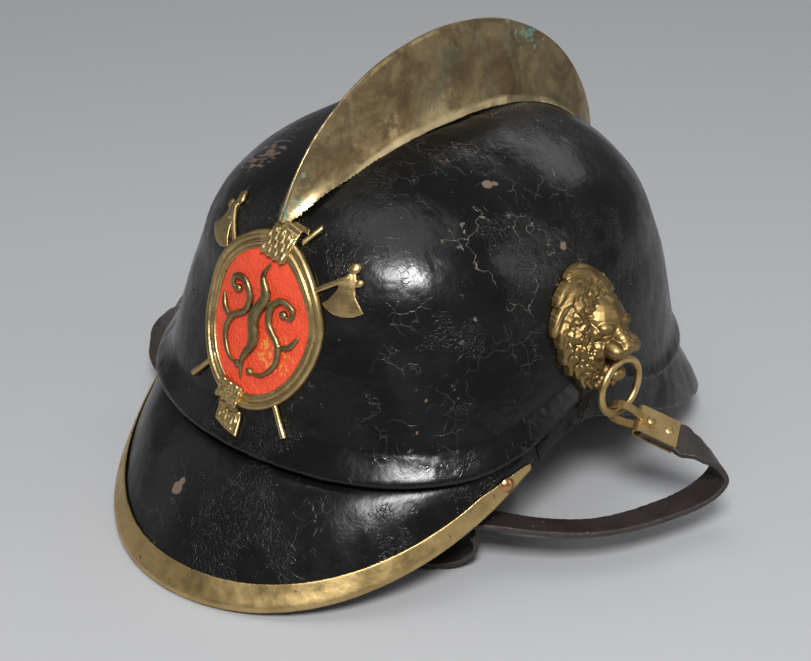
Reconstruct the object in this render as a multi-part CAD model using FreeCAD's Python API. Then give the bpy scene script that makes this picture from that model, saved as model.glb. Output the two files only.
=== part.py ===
import FreeCAD, Part
import math
import os

"""Antique leather fire helmet: lacquered skull, front peak and neck guard, brass comb, oval badge,
lion bosses with rings, and a two-part chin strap.

Frame: millimetres, +Z up, front of the helmet towards -Y, wearer's left towards +X.
The origin is on the surface that the helmet stands on, under the middle of the skull.
Angles around the helmet run from the front (0) over the wearer's left (90) to the back (180).
"""

V = FreeCAD.Vector

# ---- driving dimensions: skull ------------------------------------------------------------
SKULL_FRONT = 99.6          # half length forward of the middle, outside
SKULL_REAR = 113.7          # half length behind the middle, outside
SKULL_HALF_WIDTH = 95.4
CROWN_Z = 168.7
FRONT_BELLY_Z, FRONT_POWER = 116.5, 2.5     # height where the wall starts to close, and how square
SIDE_BELLY_Z, SIDE_POWER = 77.3, 2.63
REAR_BELLY_Z, REAR_POWER = 83.7, 2.32
LEAN, LEAN_Z = 0.113, 80.0                  # backward lean of the upper skull
FLARE_Z, FLARE_POWER, FRONT_FLARE, SIDE_FLARE = 115.0, 1.15, 0.112, 0.135
SQUARENESS = 2.25                           # 2 would make every level an ellipse
SIDE_LEVEL_Z, CAP_TURN = 92.0, 87.0         # the cap starts at this height and stops short of the pole
LEATHER = 3.0
GAP = 0.2                                   # air between neighbouring pieces
SEAM_FRONT_Z, SEAM_REAR_Z = 53.5, 56.5      # lower edge of the skull
EAR_RISE, EAR_ANGLE, EAR_SPREAD_FRONT, EAR_SPREAD_REAR = 21.0, 91.0, 22.0, 18.0

# ---- welt on the skull's lower edge ---------------------------------------------------------
WELT_HEIGHT, WELT_BULGE, WELT_FEATHER, WELT_CLEARANCE = 11.5, 3.6, 0.35, 0.3

# ---- peak and neck guard -------------------------------------------------------------------
PEAK_HALF_WIDTH, PEAK_REACH, PEAK_MID_Y = 101.0, 123.4, -33.6
PEAK_EDGE_Z, PEAK_SIDE_RISE, PEAK_RISE_POWER = 3.6, 50.0, 1.43
PEAK_END_ANGLE = 71.5                       # where the peak meets the skull's seam
PEAK_BULGE = 4.5
NECK_HALF_WIDTH, NECK_REACH, NECK_MID_Y = 103.0, 115.5, 39.7
NECK_EDGE_Z, NECK_SIDE_RISE = 3.6, 43.0
NECK_BULGE = 2.0
NECK_START_ANGLE, NECK_SIDE_ANGLE = 73.5, 112.0
EAR_START_Y, EAR_TOP_Y = -31.5, -3.0
EAR_EDGE_Z, EAR_FRONT_DROP = 60.0, 8.0
BRIM_LEATHER = 3.0
TUCK = 6.0                                  # how far the brim leather reaches up inside the skull
TRIM_WIDTH, TRIM_SHEET = 10.5, 0.8

# ---- comb ------------------------------------------------------------------------------------
COMB_MID_Y, COMB_MID_Z, COMB_RADIUS = 12.0, 84.0, 123.5
COMB_FRONT_ANGLE, COMB_REAR_ANGLE = 146.0, 10.0
COMB_HALF_WIDTH, COMB_SHEET = 11.5, 0.9

# ---- badge -----------------------------------------------------------------------------------
BADGE_Z, BADGE_TILT = 107.0, 6.0
BADGE_HALF_WIDTH, BADGE_HALF_HEIGHT, BADGE_RING = 34.0, 38.5, 6.5
BADGE_BASE = 0.6                            # height of the badge's back above the leather

# ---- lion bosses and rings ----------------------------------------------------------------------
BOSS_Y, BOSS_Z, BOSS_HALF_HEIGHT, BOSS_HALF_LENGTH = 4.0, 101.2, 25.6, 20.0
MOUTH_X, MOUTH_Y, MOUTH_Z, MOUTH_TUNNEL = 112.5, 8.0, 89.5, 4.8
RING_RADIUS, RING_WIRE = 12.5, 1.6

# ---- chin strap -----------------------------------------------------------------------------------
STRAP_WIDTH, STRAP_THICK = 17.0, 2.6
CLAMP_THICK, CLAMP_GAP = 0.8, 0.45


# ================================ shape of the skull ================================
def belly(z, start, power, crown):
    """Share of the full half axis that is left at height z."""
    rise = min(1.0, max(0.0, (z - start) / (crown - start)))
    return (1.0 - rise ** power) ** (1.0 / power)


def extents(z, inset=0.0):
    """Forward, sideways and backward half axes of the skull at height z, and its middle's y."""
    crown = CROWN_Z - inset
    flare = (max(0.0, FLARE_Z - z) / (FLARE_Z - SEAM_FRONT_Z)) ** FLARE_POWER
    front = (SKULL_FRONT - inset) * belly(z, FRONT_BELLY_Z, FRONT_POWER, crown)
    side = (SKULL_HALF_WIDTH - inset) * belly(z, SIDE_BELLY_Z, SIDE_POWER, crown)
    rear = (SKULL_REAR - inset) * belly(z, REAR_BELLY_Z, REAR_POWER, crown)
    front = front + SKULL_FRONT * FRONT_FLARE * flare
    side = side + SKULL_HALF_WIDTH * SIDE_FLARE * flare
    rear = rear + SKULL_REAR * SIDE_FLARE * flare
    return front, side, rear, LEAN * (z - LEAN_Z)


def skull_point(angle, z, inset=0.0):
    front, side, rear, middle = extents(z, inset)
    a = math.radians(angle)
    reach = front if math.cos(a) > 0 else rear
    swell = (abs(math.sin(a)) ** SQUARENESS + abs(math.cos(a)) ** SQUARENESS) ** (-1.0 / SQUARENESS)
    return V(side * math.sin(a) * swell, middle - reach * math.cos(a) * swell, z)


def remainder(share):
    """Share of one half axis that is left where the other one's share is given."""
    return (1.0 - abs(share) ** SQUARENESS) ** (1.0 / SQUARENESS)


def front_point(x, z, height=0.0):
    """The point in front of the wearer at (x, z), at a height above the leather."""
    front, side, rear, middle = extents(z, -height)
    return V(x, middle - front * remainder(x / side), z)


def side_point(y, z, height=0.0):
    """The point on the wearer's left at (y, z), at a height above the leather."""
    front, side, rear, middle = extents(z, -height)
    reach = front if y < middle else rear
    return V(side * remainder((y - middle) / reach), y, z)


def seam_z(angle):
    """Height of the skull's lower edge."""
    a = abs(angle)
    base = SEAM_FRONT_Z + (SEAM_REAR_Z - SEAM_FRONT_Z) * a / 180.0
    spread = EAR_SPREAD_FRONT if a < EAR_ANGLE else EAR_SPREAD_REAR
    return base + EAR_RISE * math.exp(-((a - EAR_ANGLE) / spread) ** 2)


# ================================ solids from point grids ================================
def grid_surface(rows):
    surface = Part.BSplineSurface()
    surface.interpolate(rows)
    return surface


def normals(rows):
    """Unit normals of a point grid by central differences, along rows x columns."""
    result = []
    for i in range(len(rows)):
        line = []
        for j in range(len(rows[0])):
            up = rows[min(i + 1, len(rows) - 1)][j] - rows[max(i - 1, 0)][j]
            along = rows[i][min(j + 1, len(rows[0]) - 1)] - rows[i][max(j - 1, 0)]
            line.append(along.cross(up).normalize())
        result.append(line)
    return result


def offset_grid(rows, distance):
    bend = normals(rows)
    return [[p + n * distance for p, n in zip(line, side)] for line, side in zip(rows, bend)]


def boundary(surface):
    """The four edges of a surface patch: first row, last row, first column, last column."""
    u0, u1, v0, v1 = surface.bounds()
    curves = [surface.uIso(u0), surface.uIso(u1), surface.vIso(v0), surface.vIso(v1)]
    return [curve.toShape() for curve in curves]


def solid_from(faces, tolerance=0.001):
    shell = Part.makeShell(faces)
    shell.sewShape(tolerance)
    solid = Part.makeSolid(shell)
    if solid.Volume < 0:
        solid.reverse()
    return solid


def patch_solid(rows_a, rows_b):
    """A closed solid between two point grids of the same layout."""
    a, b = grid_surface(rows_a), grid_surface(rows_b)
    sides = [Part.makeRuledSurface(p, q, 1) for p, q in zip(boundary(a), boundary(b))]
    return solid_from([a.toShape(), b.toShape()] + sides)


def sheet_solid(rows, thickness):
    """A sheet of even thickness, centred on a point grid."""
    return patch_solid(offset_grid(rows, thickness / 2.0), offset_grid(rows, -thickness / 2.0))


def ring_faces(point, levels, step=10):
    """Two faces that go right round: point(angle, level) for every level."""
    reach = 180 + 3 * step
    angles = list(range(-reach, reach + 1, step))
    surface = grid_surface([[point(a, level) for a in angles] for level in levels])
    cuts = [surface.getVKnot(angles.index(a) + 1) for a in (-180, 0, 180)]
    faces = []
    for start, end in zip(cuts[:-1], cuts[1:]):
        part = surface.copy()
        u0, u1, v0, v1 = part.bounds()
        part.segment(u0, u1, start, end)
        faces.append(part)
    return faces


def ring_solid(point_a, point_b, levels, step=10):
    """A closed band that goes right round, between two families of points."""
    a, b = ring_faces(point_a, levels, step), ring_faces(point_b, levels, step)
    faces = [surface.toShape() for surface in a + b]
    for first, second in zip(a, b):
        for p, q in zip(boundary(first)[:2], boundary(second)[:2]):
            faces.append(Part.makeRuledSurface(p, q, 1))
    return solid_from(faces)


def tube(points, radius):
    """A round bar along hand-placed points."""
    line = Part.BSplineCurve()
    line.interpolate(points)
    wires = []
    count = 4 * len(points)
    for k in range(count + 1):
        t = line.FirstParameter + (line.LastParameter - line.FirstParameter) * k / count
        circle = Part.Circle(line.value(t), V(*line.tangent(t)[0]), radius)
        wires.append(Part.Wire(circle.toShape()))
    return Part.makeLoft(wires, True, False)


def evenly(points, count):
    """Points at even steps along a smooth line through hand-placed points."""
    line = Part.BSplineCurve()
    line.interpolate(points)
    return line.toShape().discretize(Number=count)


def export(name, solids):
    shape = solids[0] if len(solids) == 1 else Part.makeCompound(solids)
    shape.exportStep("parts/" + name + ".step")


# ================================ skull and brim ================================
def skull_level_point(angle, level, inset):
    """level 0..1 climbs from the seam to the widest height, 1..2 on to the crown."""
    crown = CROWN_Z - inset
    if level <= 1.0:
        z = seam_z(angle) + (SIDE_LEVEL_Z - seam_z(angle)) * level
    else:
        turn = math.radians(CAP_TURN * (level - 1.0))
        z = SIDE_LEVEL_Z + (crown - SIDE_LEVEL_Z) * math.sin(turn) ** 0.8
    return skull_point(angle, z, inset)


def skull_shell():
    levels = [0.0, 0.06, 0.13, 0.22, 0.34, 0.5, 0.66, 0.83] + [1.0 + k / 15.0 for k in range(16)]
    outer = ring_faces(lambda a, level: skull_level_point(a, level, 0.0), levels)
    inner = ring_faces(lambda a, level: skull_level_point(a, level, LEATHER), levels)
    faces = [surface.toShape() for surface in outer + inner]
    for group in (outer, inner):
        faces.append(Part.Face(Part.Wire([boundary(surface)[1] for surface in group])))
    for first, second in zip(outer, inner):
        faces.append(Part.makeRuledSurface(boundary(first)[0], boundary(second)[0], 1))
    return solid_from(faces)


def welt_size(angle):
    """The welt is full in front and slims down over the ears."""
    return 0.5 + 0.5 / (1.0 + math.exp((abs(angle) - 80.0) / 7.0))


def welt_bulge(share):
    return WELT_FEATHER + WELT_BULGE * math.sin(math.pi * math.sqrt(share)) ** 1.3


def welt_point(angle, share, outside):
    """share runs from the welt's lower edge (0) to its feathered top (1)."""
    size = welt_size(angle)
    z = seam_z(angle) - 0.3 + WELT_HEIGHT * size * share ** 1.3
    height = WELT_CLEARANCE + (welt_bulge(share) * size if outside else 0.0)
    return skull_point(angle, z, -height)


def rim_welt():
    shares = [k / 8.0 for k in range(9)]
    outside = lambda a, share: welt_point(a, share, True)
    inside = lambda a, share: welt_point(a, share, False)
    return ring_solid(outside, inside, shares)


def peak_edge(s):
    turn = math.radians(90.0 * s)
    x = PEAK_HALF_WIDTH * math.sin(turn)
    y = PEAK_MID_Y - PEAK_REACH * math.cos(turn)
    return V(x, y, PEAK_EDGE_Z + PEAK_SIDE_RISE * (1.0 - math.cos(turn)) ** PEAK_RISE_POWER)


def tucked(angle, rise, clearance=0.6):
    """A point of brim leather that lies inside the skull, above its seam."""
    return skull_point(angle, seam_z(angle) + rise, LEATHER + clearance)


def peak_point(s, v):
    """Upper face of the peak: s from the wearer's right (-1) to left (1), v from seam (0) to edge (1)."""
    start, end = tucked(PEAK_END_ANGLE * s, -2.6, 1.6), peak_edge(s)
    turn = math.radians(PEAK_END_ANGLE * s)
    lift = V(0.75 * math.sin(turn), -0.75 * math.cos(turn), 0.66)
    length = (end - start).Length / (peak_edge(0.0) - tucked(0.0, 0.0)).Length
    return start + (end - start) * v + lift * (PEAK_BULGE * length * math.sin(math.pi * v ** 0.6))


def peak_normal(s, v):
    step = 0.01
    along = peak_point(s + step, v) - peak_point(s - step, v)
    out = peak_point(s, v) - peak_point(s, v - step)
    return out.cross(along).normalize()


PEAK_STATIONS = [k / 16.0 for k in range(-16, 17)]


def peak_rows():
    rows = [[peak_point(s, v) for s in PEAK_STATIONS] for v in (1.0, 0.97, 0.85, 0.68, 0.5, 0.34, 0.2, 0.09)]
    for rise, clearance in ((-1.0, 1.6), (2.6, 1.2), (TUCK, 1.0)):
        rows.append([tucked(PEAK_END_ANGLE * s, rise, clearance) for s in PEAK_STATIONS])
    return rows


def front_peak():
    rows = peak_rows()
    return patch_solid(rows, offset_grid(rows, -BRIM_LEATHER))


def trim_width(s):
    """The trim runs out to a point at both ends."""
    return 1.4 + (TRIM_WIDTH - 1.4) * min(1.0, (1.0 - abs(s)) / 0.15) ** 0.7


def trim_section(s, width):
    """Middle line of the trim's folded sheet around the peak's edge, from the top face to the underside."""
    length = (peak_edge(s) - tucked(PEAK_END_ANGLE * s, 0.0)).Length
    height = BRIM_LEATHER / 2.0 + 0.3 + TRIM_SHEET / 2.0
    points = []
    for share in (1.0, 0.66, 0.33):
        v = 1.0 - width * share / length
        points.append(peak_point(s, v) + peak_normal(s, v) * (height - BRIM_LEATHER / 2.0))
    normal = peak_normal(s, 1.0)
    out = (peak_point(s, 1.0) - peak_point(s, 0.96)).normalize()
    middle = peak_point(s, 1.0) - normal * (BRIM_LEATHER / 2.0)
    for turn in range(0, 181, 30):
        a = math.radians(turn)
        points.append(middle + normal * (height * math.cos(a)) + out * (height * math.sin(a)))
    for share in (0.4, 0.7):
        v = 1.0 - width * share / length
        points.append(peak_point(s, v) - peak_normal(s, v) * (height + BRIM_LEATHER / 2.0))
    return points


def peak_trim():
    stations = [k / 40.0 for k in range(-40, 41)]
    rows = [evenly(trim_section(s * 0.985, trim_width(s)), 21) for s in stations]
    return sheet_solid(rows, TRIM_SHEET)


TRIM_RIVET_STATION, TRIM_RIVET_RADIUS = 0.915, 3.3


def trim_rivet_axis(side):
    s = side * TRIM_RIVET_STATION
    length = (peak_edge(s) - tucked(PEAK_END_ANGLE * s, 0.0)).Length
    v = 1.0 - 0.48 * trim_width(s) / length
    return peak_point(s, v), peak_normal(s, v)


def domed_head(base, direction, radius, height):
    """A low domed rivet head: a slice of a ball."""
    ball = (radius ** 2 + height ** 2) / (2.0 * height)
    sphere = Part.makeSphere(ball, base - direction * (ball - height))
    block = Part.makeCylinder(radius * 1.2, height * 1.2, base, direction)
    return sphere.common(block)


def trim_rivet(side):
    base, direction = trim_rivet_axis(side)
    top = base + direction * (0.35 + TRIM_SHEET)
    shank = Part.makeCylinder(1.5, TRIM_SHEET + BRIM_LEATHER + 2.0, top, direction * -1)
    return domed_head(top, direction, TRIM_RIVET_RADIUS, 1.5).fuse(shank)


def trim_rivet_hole(side):
    base, direction = trim_rivet_axis(side)
    return Part.makeCylinder(1.6, 16.0, base + direction * 8.0, direction * -1)


def neck_columns():
    """Pairs of an angle at the seam and the matching point of the brim's lower edge."""
    columns = []
    ear_count, rear_count = 9, 22
    for k in range(ear_count):
        share = k / float(ear_count)
        angle = NECK_START_ANGLE + (NECK_SIDE_ANGLE - NECK_START_ANGLE) * share
        y = EAR_START_Y + (NECK_MID_Y - EAR_START_Y) * share
        if y < EAR_TOP_Y:
            z = EAR_EDGE_Z - EAR_FRONT_DROP * ((y - EAR_TOP_Y) / (EAR_START_Y - EAR_TOP_Y)) ** 2
        else:
            t = (y - EAR_TOP_Y) / (NECK_MID_Y - EAR_TOP_Y)
            drop = EAR_EDGE_Z - NECK_EDGE_Z - NECK_SIDE_RISE
            z = EAR_EDGE_Z - drop * t * t * (3.0 - 2.0 * t)
        columns.append((angle, V(NECK_HALF_WIDTH, y, z)))
    for k in range(rear_count // 2 + 1):
        share = k / float(rear_count)
        turn = math.radians(90.0 - 180.0 * share)
        angle = NECK_SIDE_ANGLE + (360.0 - 2.0 * NECK_SIDE_ANGLE) * share
        y = NECK_MID_Y + NECK_REACH * math.cos(turn)
        z = NECK_EDGE_Z + NECK_SIDE_RISE * (1.0 - math.cos(turn))
        columns.append((angle, V(NECK_HALF_WIDTH * math.sin(turn), y, z)))
    mirrored = [(-angle, V(-edge.x, edge.y, edge.z)) for angle, edge in columns[:-1]]
    return columns + mirrored[::-1]


def neck_column(angle, edge):
    """From the brim's lower edge up to the seam and on into the skull."""
    start = tucked(angle, -1.6, 1.4)
    out = (skull_point(angle, seam_z(angle)) - V(0, 0, seam_z(angle))).normalize()
    span = (edge - start).Length / 60.0
    points = []
    for v in (1.0, 0.82, 0.64, 0.46, 0.28, 0.12):
        points.append(start + (edge - start) * v + out * (NECK_BULGE * span * math.sin(math.pi * v)))
    for rise in (-0.6, 2.4, TUCK):
        points.append(tucked(angle, rise, 1.2))
    return evenly(points, 13)


def neck_guard():
    rows = [list(row) for row in zip(*[neck_column(angle, edge) for angle, edge in neck_columns()])]
    return patch_solid(rows, offset_grid(rows, -BRIM_LEATHER))


# ================================ liner ================================
SWEATBAND_START, SWEATBAND_HEIGHT, SWEATBAND_LEAN, LINER_LEATHER = 7.0, 18.0, 6.0, 1.4
TONGUE_COUNT, TONGUE_INSET, TONGUE_TOP_Z = 8, 12.9, 150.0


def sweatband():
    def point(angle, share, depth):
        z = seam_z(angle) + SWEATBAND_START + SWEATBAND_HEIGHT * share
        return skull_point(angle, z, LEATHER + 0.3 + SWEATBAND_LEAN * share + depth)
    shares = [0.0, 0.25, 0.5, 0.75, 1.0]
    outside = lambda a, share: point(a, share, 0.0)
    inside = lambda a, share: point(a, share, LINER_LEATHER)
    return ring_solid(outside, inside, shares)


def liner_tongue(middle):
    rows = []
    for k in range(9):
        share = k / 8.0
        spread = 18.0 * (1.0 - 0.55 * share ** 2)
        row = []
        for j in range(7):
            angle = middle + spread * (j - 3) / 3.0
            start = seam_z(angle if angle <= 180 else angle - 360) + SWEATBAND_START + SWEATBAND_HEIGHT - 4.0
            z = start + (TONGUE_TOP_Z - start) * math.sin(math.radians(90.0 * share)) ** 1.0
            row.append(skull_point(angle, z, TONGUE_INSET))
        rows.append(row)
    tongue = sheet_solid(rows, LINER_LEATHER)
    tip, nearby = rows[7][3], rows[6][3]
    across = rows[7][4] - rows[7][2]
    direction = across.cross(tip - nearby).normalize()
    return tongue.cut(Part.makeCylinder(2.2, 12.0, tip - direction * 6.0, direction))


# ================================ comb ================================
def comb_axis_point(turn, radius, x=0.0):
    a = math.radians(turn)
    return V(x, COMB_MID_Y + radius * math.cos(a), COMB_MID_Z + radius * math.sin(a))


def outside_skull(point, height=0.0):
    if point.z >= CROWN_Z + height:
        return True
    front, side, rear, middle = extents(point.z, -height)
    reach = front if point.y < middle else rear
    across, along = abs(point.x / side), abs((point.y - middle) / reach)
    return across ** SQUARENESS + along ** SQUARENESS > 1.0


def skull_radius(turn, x):
    """Distance from the comb's middle to the skull's outside, in the plane at x."""
    low, high = 40.0, 140.0
    for step in range(40):
        radius = (low + high) / 2.0
        if outside_skull(comb_axis_point(turn, radius, x)):
            high = radius
        else:
            low = radius
    return high


def comb_fullness(turn, power):
    """1 along the comb, falling to 0 at both tips."""
    middle = (COMB_FRONT_ANGLE + COMB_REAR_ANGLE) / 2.0
    half = (COMB_FRONT_ANGLE - COMB_REAR_ANGLE) / 2.0
    return math.sqrt(max(0.0, 1.0 - (abs(turn - middle) / half) ** power))


def comb_lift(turn):
    """The front tip rides over the badge's top plate."""
    share = min(1.0, max(0.0, (turn - 128.0) / 10.0))
    return 0.25 + 2.2 * share * share * (3.0 - 2.0 * share)


def comb_point(turn, v, inside=False):
    """One flank on the wearer's left: v runs from the foot (0) to the ridge (1)."""
    foot_x = 1.4 + (COMB_HALF_WIDTH - 1.4) * comb_fullness(turn, 7)
    foot = skull_radius(turn, foot_x) + comb_lift(turn)
    ridge = COMB_RADIUS - 6.5 * ((turn - 85.0) / 60.0) ** 4
    ridge = foot + 1.5 + (ridge - foot - 1.5) * comb_fullness(turn, 12)
    x = 1.0 + (foot_x - 1.0) * (0.72 * (1.0 - v) + 0.28 * (1.0 - v) ** 6)
    if inside:
        x = x - COMB_SHEET
    return comb_axis_point(turn, foot + (ridge - foot) * v, x)


def comb_turns():
    """Stations along the comb, closer together towards the tips."""
    middle = (COMB_FRONT_ANGLE + COMB_REAR_ANGLE) / 2.0
    half = (COMB_FRONT_ANGLE - COMB_REAR_ANGLE) / 2.0
    return [middle + half * 0.9995 * math.sin(math.radians(k * 4.5)) for k in range(-20, 21)]


def comb_side(mirror):
    shares = [k / 8.0 for k in range(9)]
    outer = [[comb_point(turn, v) for v in shares] for turn in comb_turns()]
    inner = [[comb_point(turn, v, True) for v in shares] for turn in comb_turns()]
    if mirror:
        outer = [[V(-p.x, p.y, p.z) for p in row] for row in outer]
        inner = [[V(-p.x, p.y, p.z) for p in row] for row in inner]
    return patch_solid(outer, inner)


def comb_ridge():
    points = []
    for turn in comb_turns()[1:-1]:
        top = comb_point(turn, 1.0)
        middle = V(0, COMB_MID_Y, COMB_MID_Z)
        out = (V(0, top.y, top.z) - middle).normalize()
        points.append(V(0, top.y, top.z) + out * 0.75)
    line = Part.BSplineCurve()
    line.interpolate(points)
    wires = []
    for k in range(61):
        t = line.FirstParameter + (line.LastParameter - line.FirstParameter) * k / 60.0
        ellipse = Part.Circle(line.value(t), V(*line.tangent(t)[0]), 0.7)
        wires.append(Part.Wire(ellipse.toShape()))
    return Part.makeLoft(wires, True, False)


COMB_STUD_TURNS, STUD_RADIUS, STUD_HOLE = (116.0, 42.0), 1.5, 1.65
WASHER_RADIUS, WASHER_THICK, NUT_FLATS, NUT_THICK = 4.5, 0.8, 6.0, 2.4
STUD_TAIL = 8.0                             # how far a stud reaches in from the outer face of the leather


def fixing(name, base, out):
    """Stud hole, washer and nut on an axis through the skull: base is on its outer face."""
    if name == "hole":
        return Part.makeCylinder(STUD_HOLE, 14.0, base + out * 4.0, out * -1)
    start = base - out * (LEATHER + 0.5)
    if name == "washer":
        disc = Part.makeCylinder(WASHER_RADIUS, WASHER_THICK, start, out * -1)
        return disc.cut(Part.makeCylinder(STUD_RADIUS + 0.1, 3.0, start + out, out * -1))
    start = start - out * (WASHER_THICK + 0.05)
    side = out.cross(V(0.3, 0.2, 0.93)).normalize()
    corners = []
    for k in range(7):
        turn = FreeCAD.Rotation(out, 60.0 * k)
        corners.append(start + turn.multVec(side) * (NUT_FLATS / math.sqrt(3.0)))
    prism = Part.Face(Part.makePolygon(corners)).extrude(out * -NUT_THICK)
    return prism.cut(Part.makeCylinder(STUD_RADIUS + 0.05, 6.0, start + out, out * -1))


def comb_stud_axis(turn):
    ends = [comb_axis_point(turn + step, skull_radius(turn + step, 0.0)) for step in (-2.0, 2.0)]
    out = V(1, 0, 0).cross(ends[0] - ends[1]).normalize()
    return comb_axis_point(turn, skull_radius(turn, 0.0)), out if out.z > 0 else out * -1


def comb_stud(turn):
    """A stud with a cross bar that is soldered between the comb's two sheets."""
    base, out = comb_stud_axis(turn)
    bar_height = 9.0
    foot = comb_point(turn, 0.0)
    ridge = comb_point(turn, 1.0)
    v = bar_height / (ridge - foot).Length
    reach = comb_point(turn, v, True).x - 1.0
    shaft = Part.makeCylinder(STUD_RADIUS, STUD_TAIL + bar_height, base - out * STUD_TAIL, out)
    bar = Part.makeCylinder(1.6, 2.0 * reach, base + out * bar_height - V(reach, 0, 0), V(1, 0, 0))
    return shaft.fuse(bar)


# ================================ badge ================================
def badge_place(across, up):
    """Turn badge coordinates, upright and centred, into (x, z)."""
    a = math.radians(BADGE_TILT)
    x = across * math.cos(a) + up * math.sin(a)
    z = BADGE_Z + (up * math.cos(a) - across * math.sin(a)) * 0.97
    return x, z


def leather_height(z):
    """How far the welt stands out below the badge."""
    top = seam_z(0) - 0.3 + WELT_HEIGHT
    if z >= top:
        return 0.0
    share = max(0.0, (z - seam_z(0) + 0.3) / WELT_HEIGHT) ** (1.0 / 1.3)
    return WELT_CLEARANCE + welt_bulge(share) + 0.15


def badge_point(across, up, height):
    x, z = badge_place(across, up)
    return front_point(x, z, height + leather_height(z))


def badge_frame():
    def ring_point(turn, share, height):
        a = math.radians(turn)
        wide = BADGE_HALF_WIDTH - BADGE_RING * share
        tall = BADGE_HALF_HEIGHT - BADGE_RING * share
        return badge_point(wide * math.sin(a), tall * math.cos(a), height)
    shares = [k / 8.0 for k in range(9)]
    beads = lambda a, share: ring_point(a, share, BADGE_BASE + 1.2 + 1.6 * math.sin(2 * math.pi * share) ** 2)
    back = lambda a, share: ring_point(a, share, BADGE_BASE)
    return ring_solid(beads, back, shares)


def badge_field():
    """The oval plate inside the frame, from a square grid that is rounded to the oval."""
    wide = BADGE_HALF_WIDTH - BADGE_RING - 0.2
    tall = BADGE_HALF_HEIGHT - BADGE_RING - 0.2
    def point(i, j, height):
        u, v = i / 6.0, j / 6.0
        across = wide * u * math.sqrt(1.0 - v * v / 2.0)
        up = tall * v * math.sqrt(1.0 - u * u / 2.0)
        return badge_point(across, up, height)
    grid = lambda height: [[point(i, j, height) for i in range(-6, 7)] for j in range(-6, 7)]
    return patch_solid(grid(BADGE_BASE + 1.0), grid(BADGE_BASE))


def badge_bar(points, widths, low, high):
    """A flat strip on the badge along (across, up) points, with its half width at each point."""
    line = Part.BSplineCurve()
    line.interpolate([V(p[0], p[1], 0) for p in points])
    knots = [line.parameter(V(p[0], p[1], 0)) for p in points]
    rows_high, rows_low = [], []
    for k in range(2 * len(points) - 1):
        first = k // 2
        share = (k % 2) / 2.0
        last = min(first + 1, len(points) - 1)
        t = knots[first] * (1.0 - share) + knots[last] * share
        half = widths[first] * (1.0 - share) + widths[last] * share
        middle, along = line.value(t), V(*line.tangent(t)[0])
        side = V(-along.y, along.x, 0) * half
        row = [middle + side * e for e in (-1.0, -0.5, 0.0, 0.5, 1.0)]
        rows_high.append([badge_point(p.x, p.y, high) for p in row])
        rows_low.append([badge_point(p.x, p.y, low) for p in row])
    return patch_solid(rows_high, rows_low)


def badge_axes():
    """Crossed axes: what shows outside the oval are two heads and four pieces of shaft."""
    solids = []
    for side in (1, -1):
        head = [(side * x, z) for x, z in ((36.9, 37.5), (37.5, 33.0), (38.4, 28.5), (40.0, 23.5), (41.8, 18.2))]
        solids.append(badge_bar(head, (2.4, 3.0, 2.6, 5.0, 8.2), BADGE_BASE, BADGE_BASE + 1.6))
        neck = [(side * x, z) for x, z in ((27.6, 26.4), (30.9, 29.0), (34.2, 31.6))]
        solids.append(badge_bar(neck, (1.5, 1.5, 1.5), BADGE_BASE, BADGE_BASE + 1.8))
        end = [(side * x, z) for x, z in ((22.4, -31.9), (25.3, -35.4), (28.2, -38.9))]
        solids.append(badge_bar(end, (1.5, 1.6, 1.8), BADGE_BASE, BADGE_BASE + 1.8))
    return solids


def badge_knots():
    """Woven keepers wrapped over the frame at the top and bottom."""
    low, high = BADGE_BASE + 2.9, BADGE_BASE + 4.2
    top = badge_bar([(0.5, 30.5), (0.5, 34.5), (0.5, 38.5)], (6.0, 6.3, 6.6), low, high)
    bottom = badge_bar([(-3.0, -29.5), (-3.2, -34.0), (-3.2, -38.6)], (6.0, 6.4, 6.8), low, high)
    return [top, bottom]


def badge_tail():
    points = [(-2.3, -40.4), (-1.5, -42.6), (-0.2, -45.4), (1.3, -48.5)]
    return badge_bar(points, (6.4, 6.8, 7.2, 7.8), BADGE_BASE + 0.4, BADGE_BASE + 2.0)


def badge_top_plate():
    points = [(0.5, 39.0), (0.8, 41.5), (1.0, 44.0)]
    return badge_bar(points, (8.6, 8.0, 6.4), BADGE_BASE - 0.3, BADGE_BASE + 0.9)


def badge_ornament():
    """Raised generic scrollwork: a flame over two mirrored scrolls."""
    low, high = BADGE_BASE + 1.05, BADGE_BASE + 2.5
    flame = badge_bar([(0, -24), (0, -14), (0, -2), (0, 10), (0, 24)], (1.2, 2.0, 1.4, 3.0, 0.6), low, high)
    solids = [flame]
    for side in (1, -1):
        scroll = [(3.4, -19), (9, -17), (13.5, -10), (11.5, -2), (6.5, 3.5), (6.5, 10), (11, 14), (14.5, 10.5)]
        scroll = [(side * x, z) for x, z in scroll]
        solids.append(badge_bar(scroll, (0.7, 1.4, 1.8, 1.6, 1.3, 1.4, 1.3, 0.8), low, high))
    return solids


BADGE_STUD_UPS = (20.0, -16.0)


def badge_stud_axis(up):
    base = badge_point(0.0, up, 0.0)
    across = badge_point(1.0, up, 0.0) - badge_point(-1.0, up, 0.0)
    rise = badge_point(0.0, up + 1.0, 0.0) - badge_point(0.0, up - 1.0, 0.0)
    return base, across.cross(rise).normalize()


def badge_stud(up):
    base, out = badge_stud_axis(up)
    return Part.makeCylinder(STUD_RADIUS, STUD_TAIL + BADGE_BASE - 0.1, base - out * STUD_TAIL, out)


# ================================ lion bosses and rings ================================
def mirrored(shape):
    return shape.mirror(V(0, 0, 0), V(1, 0, 0))


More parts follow.
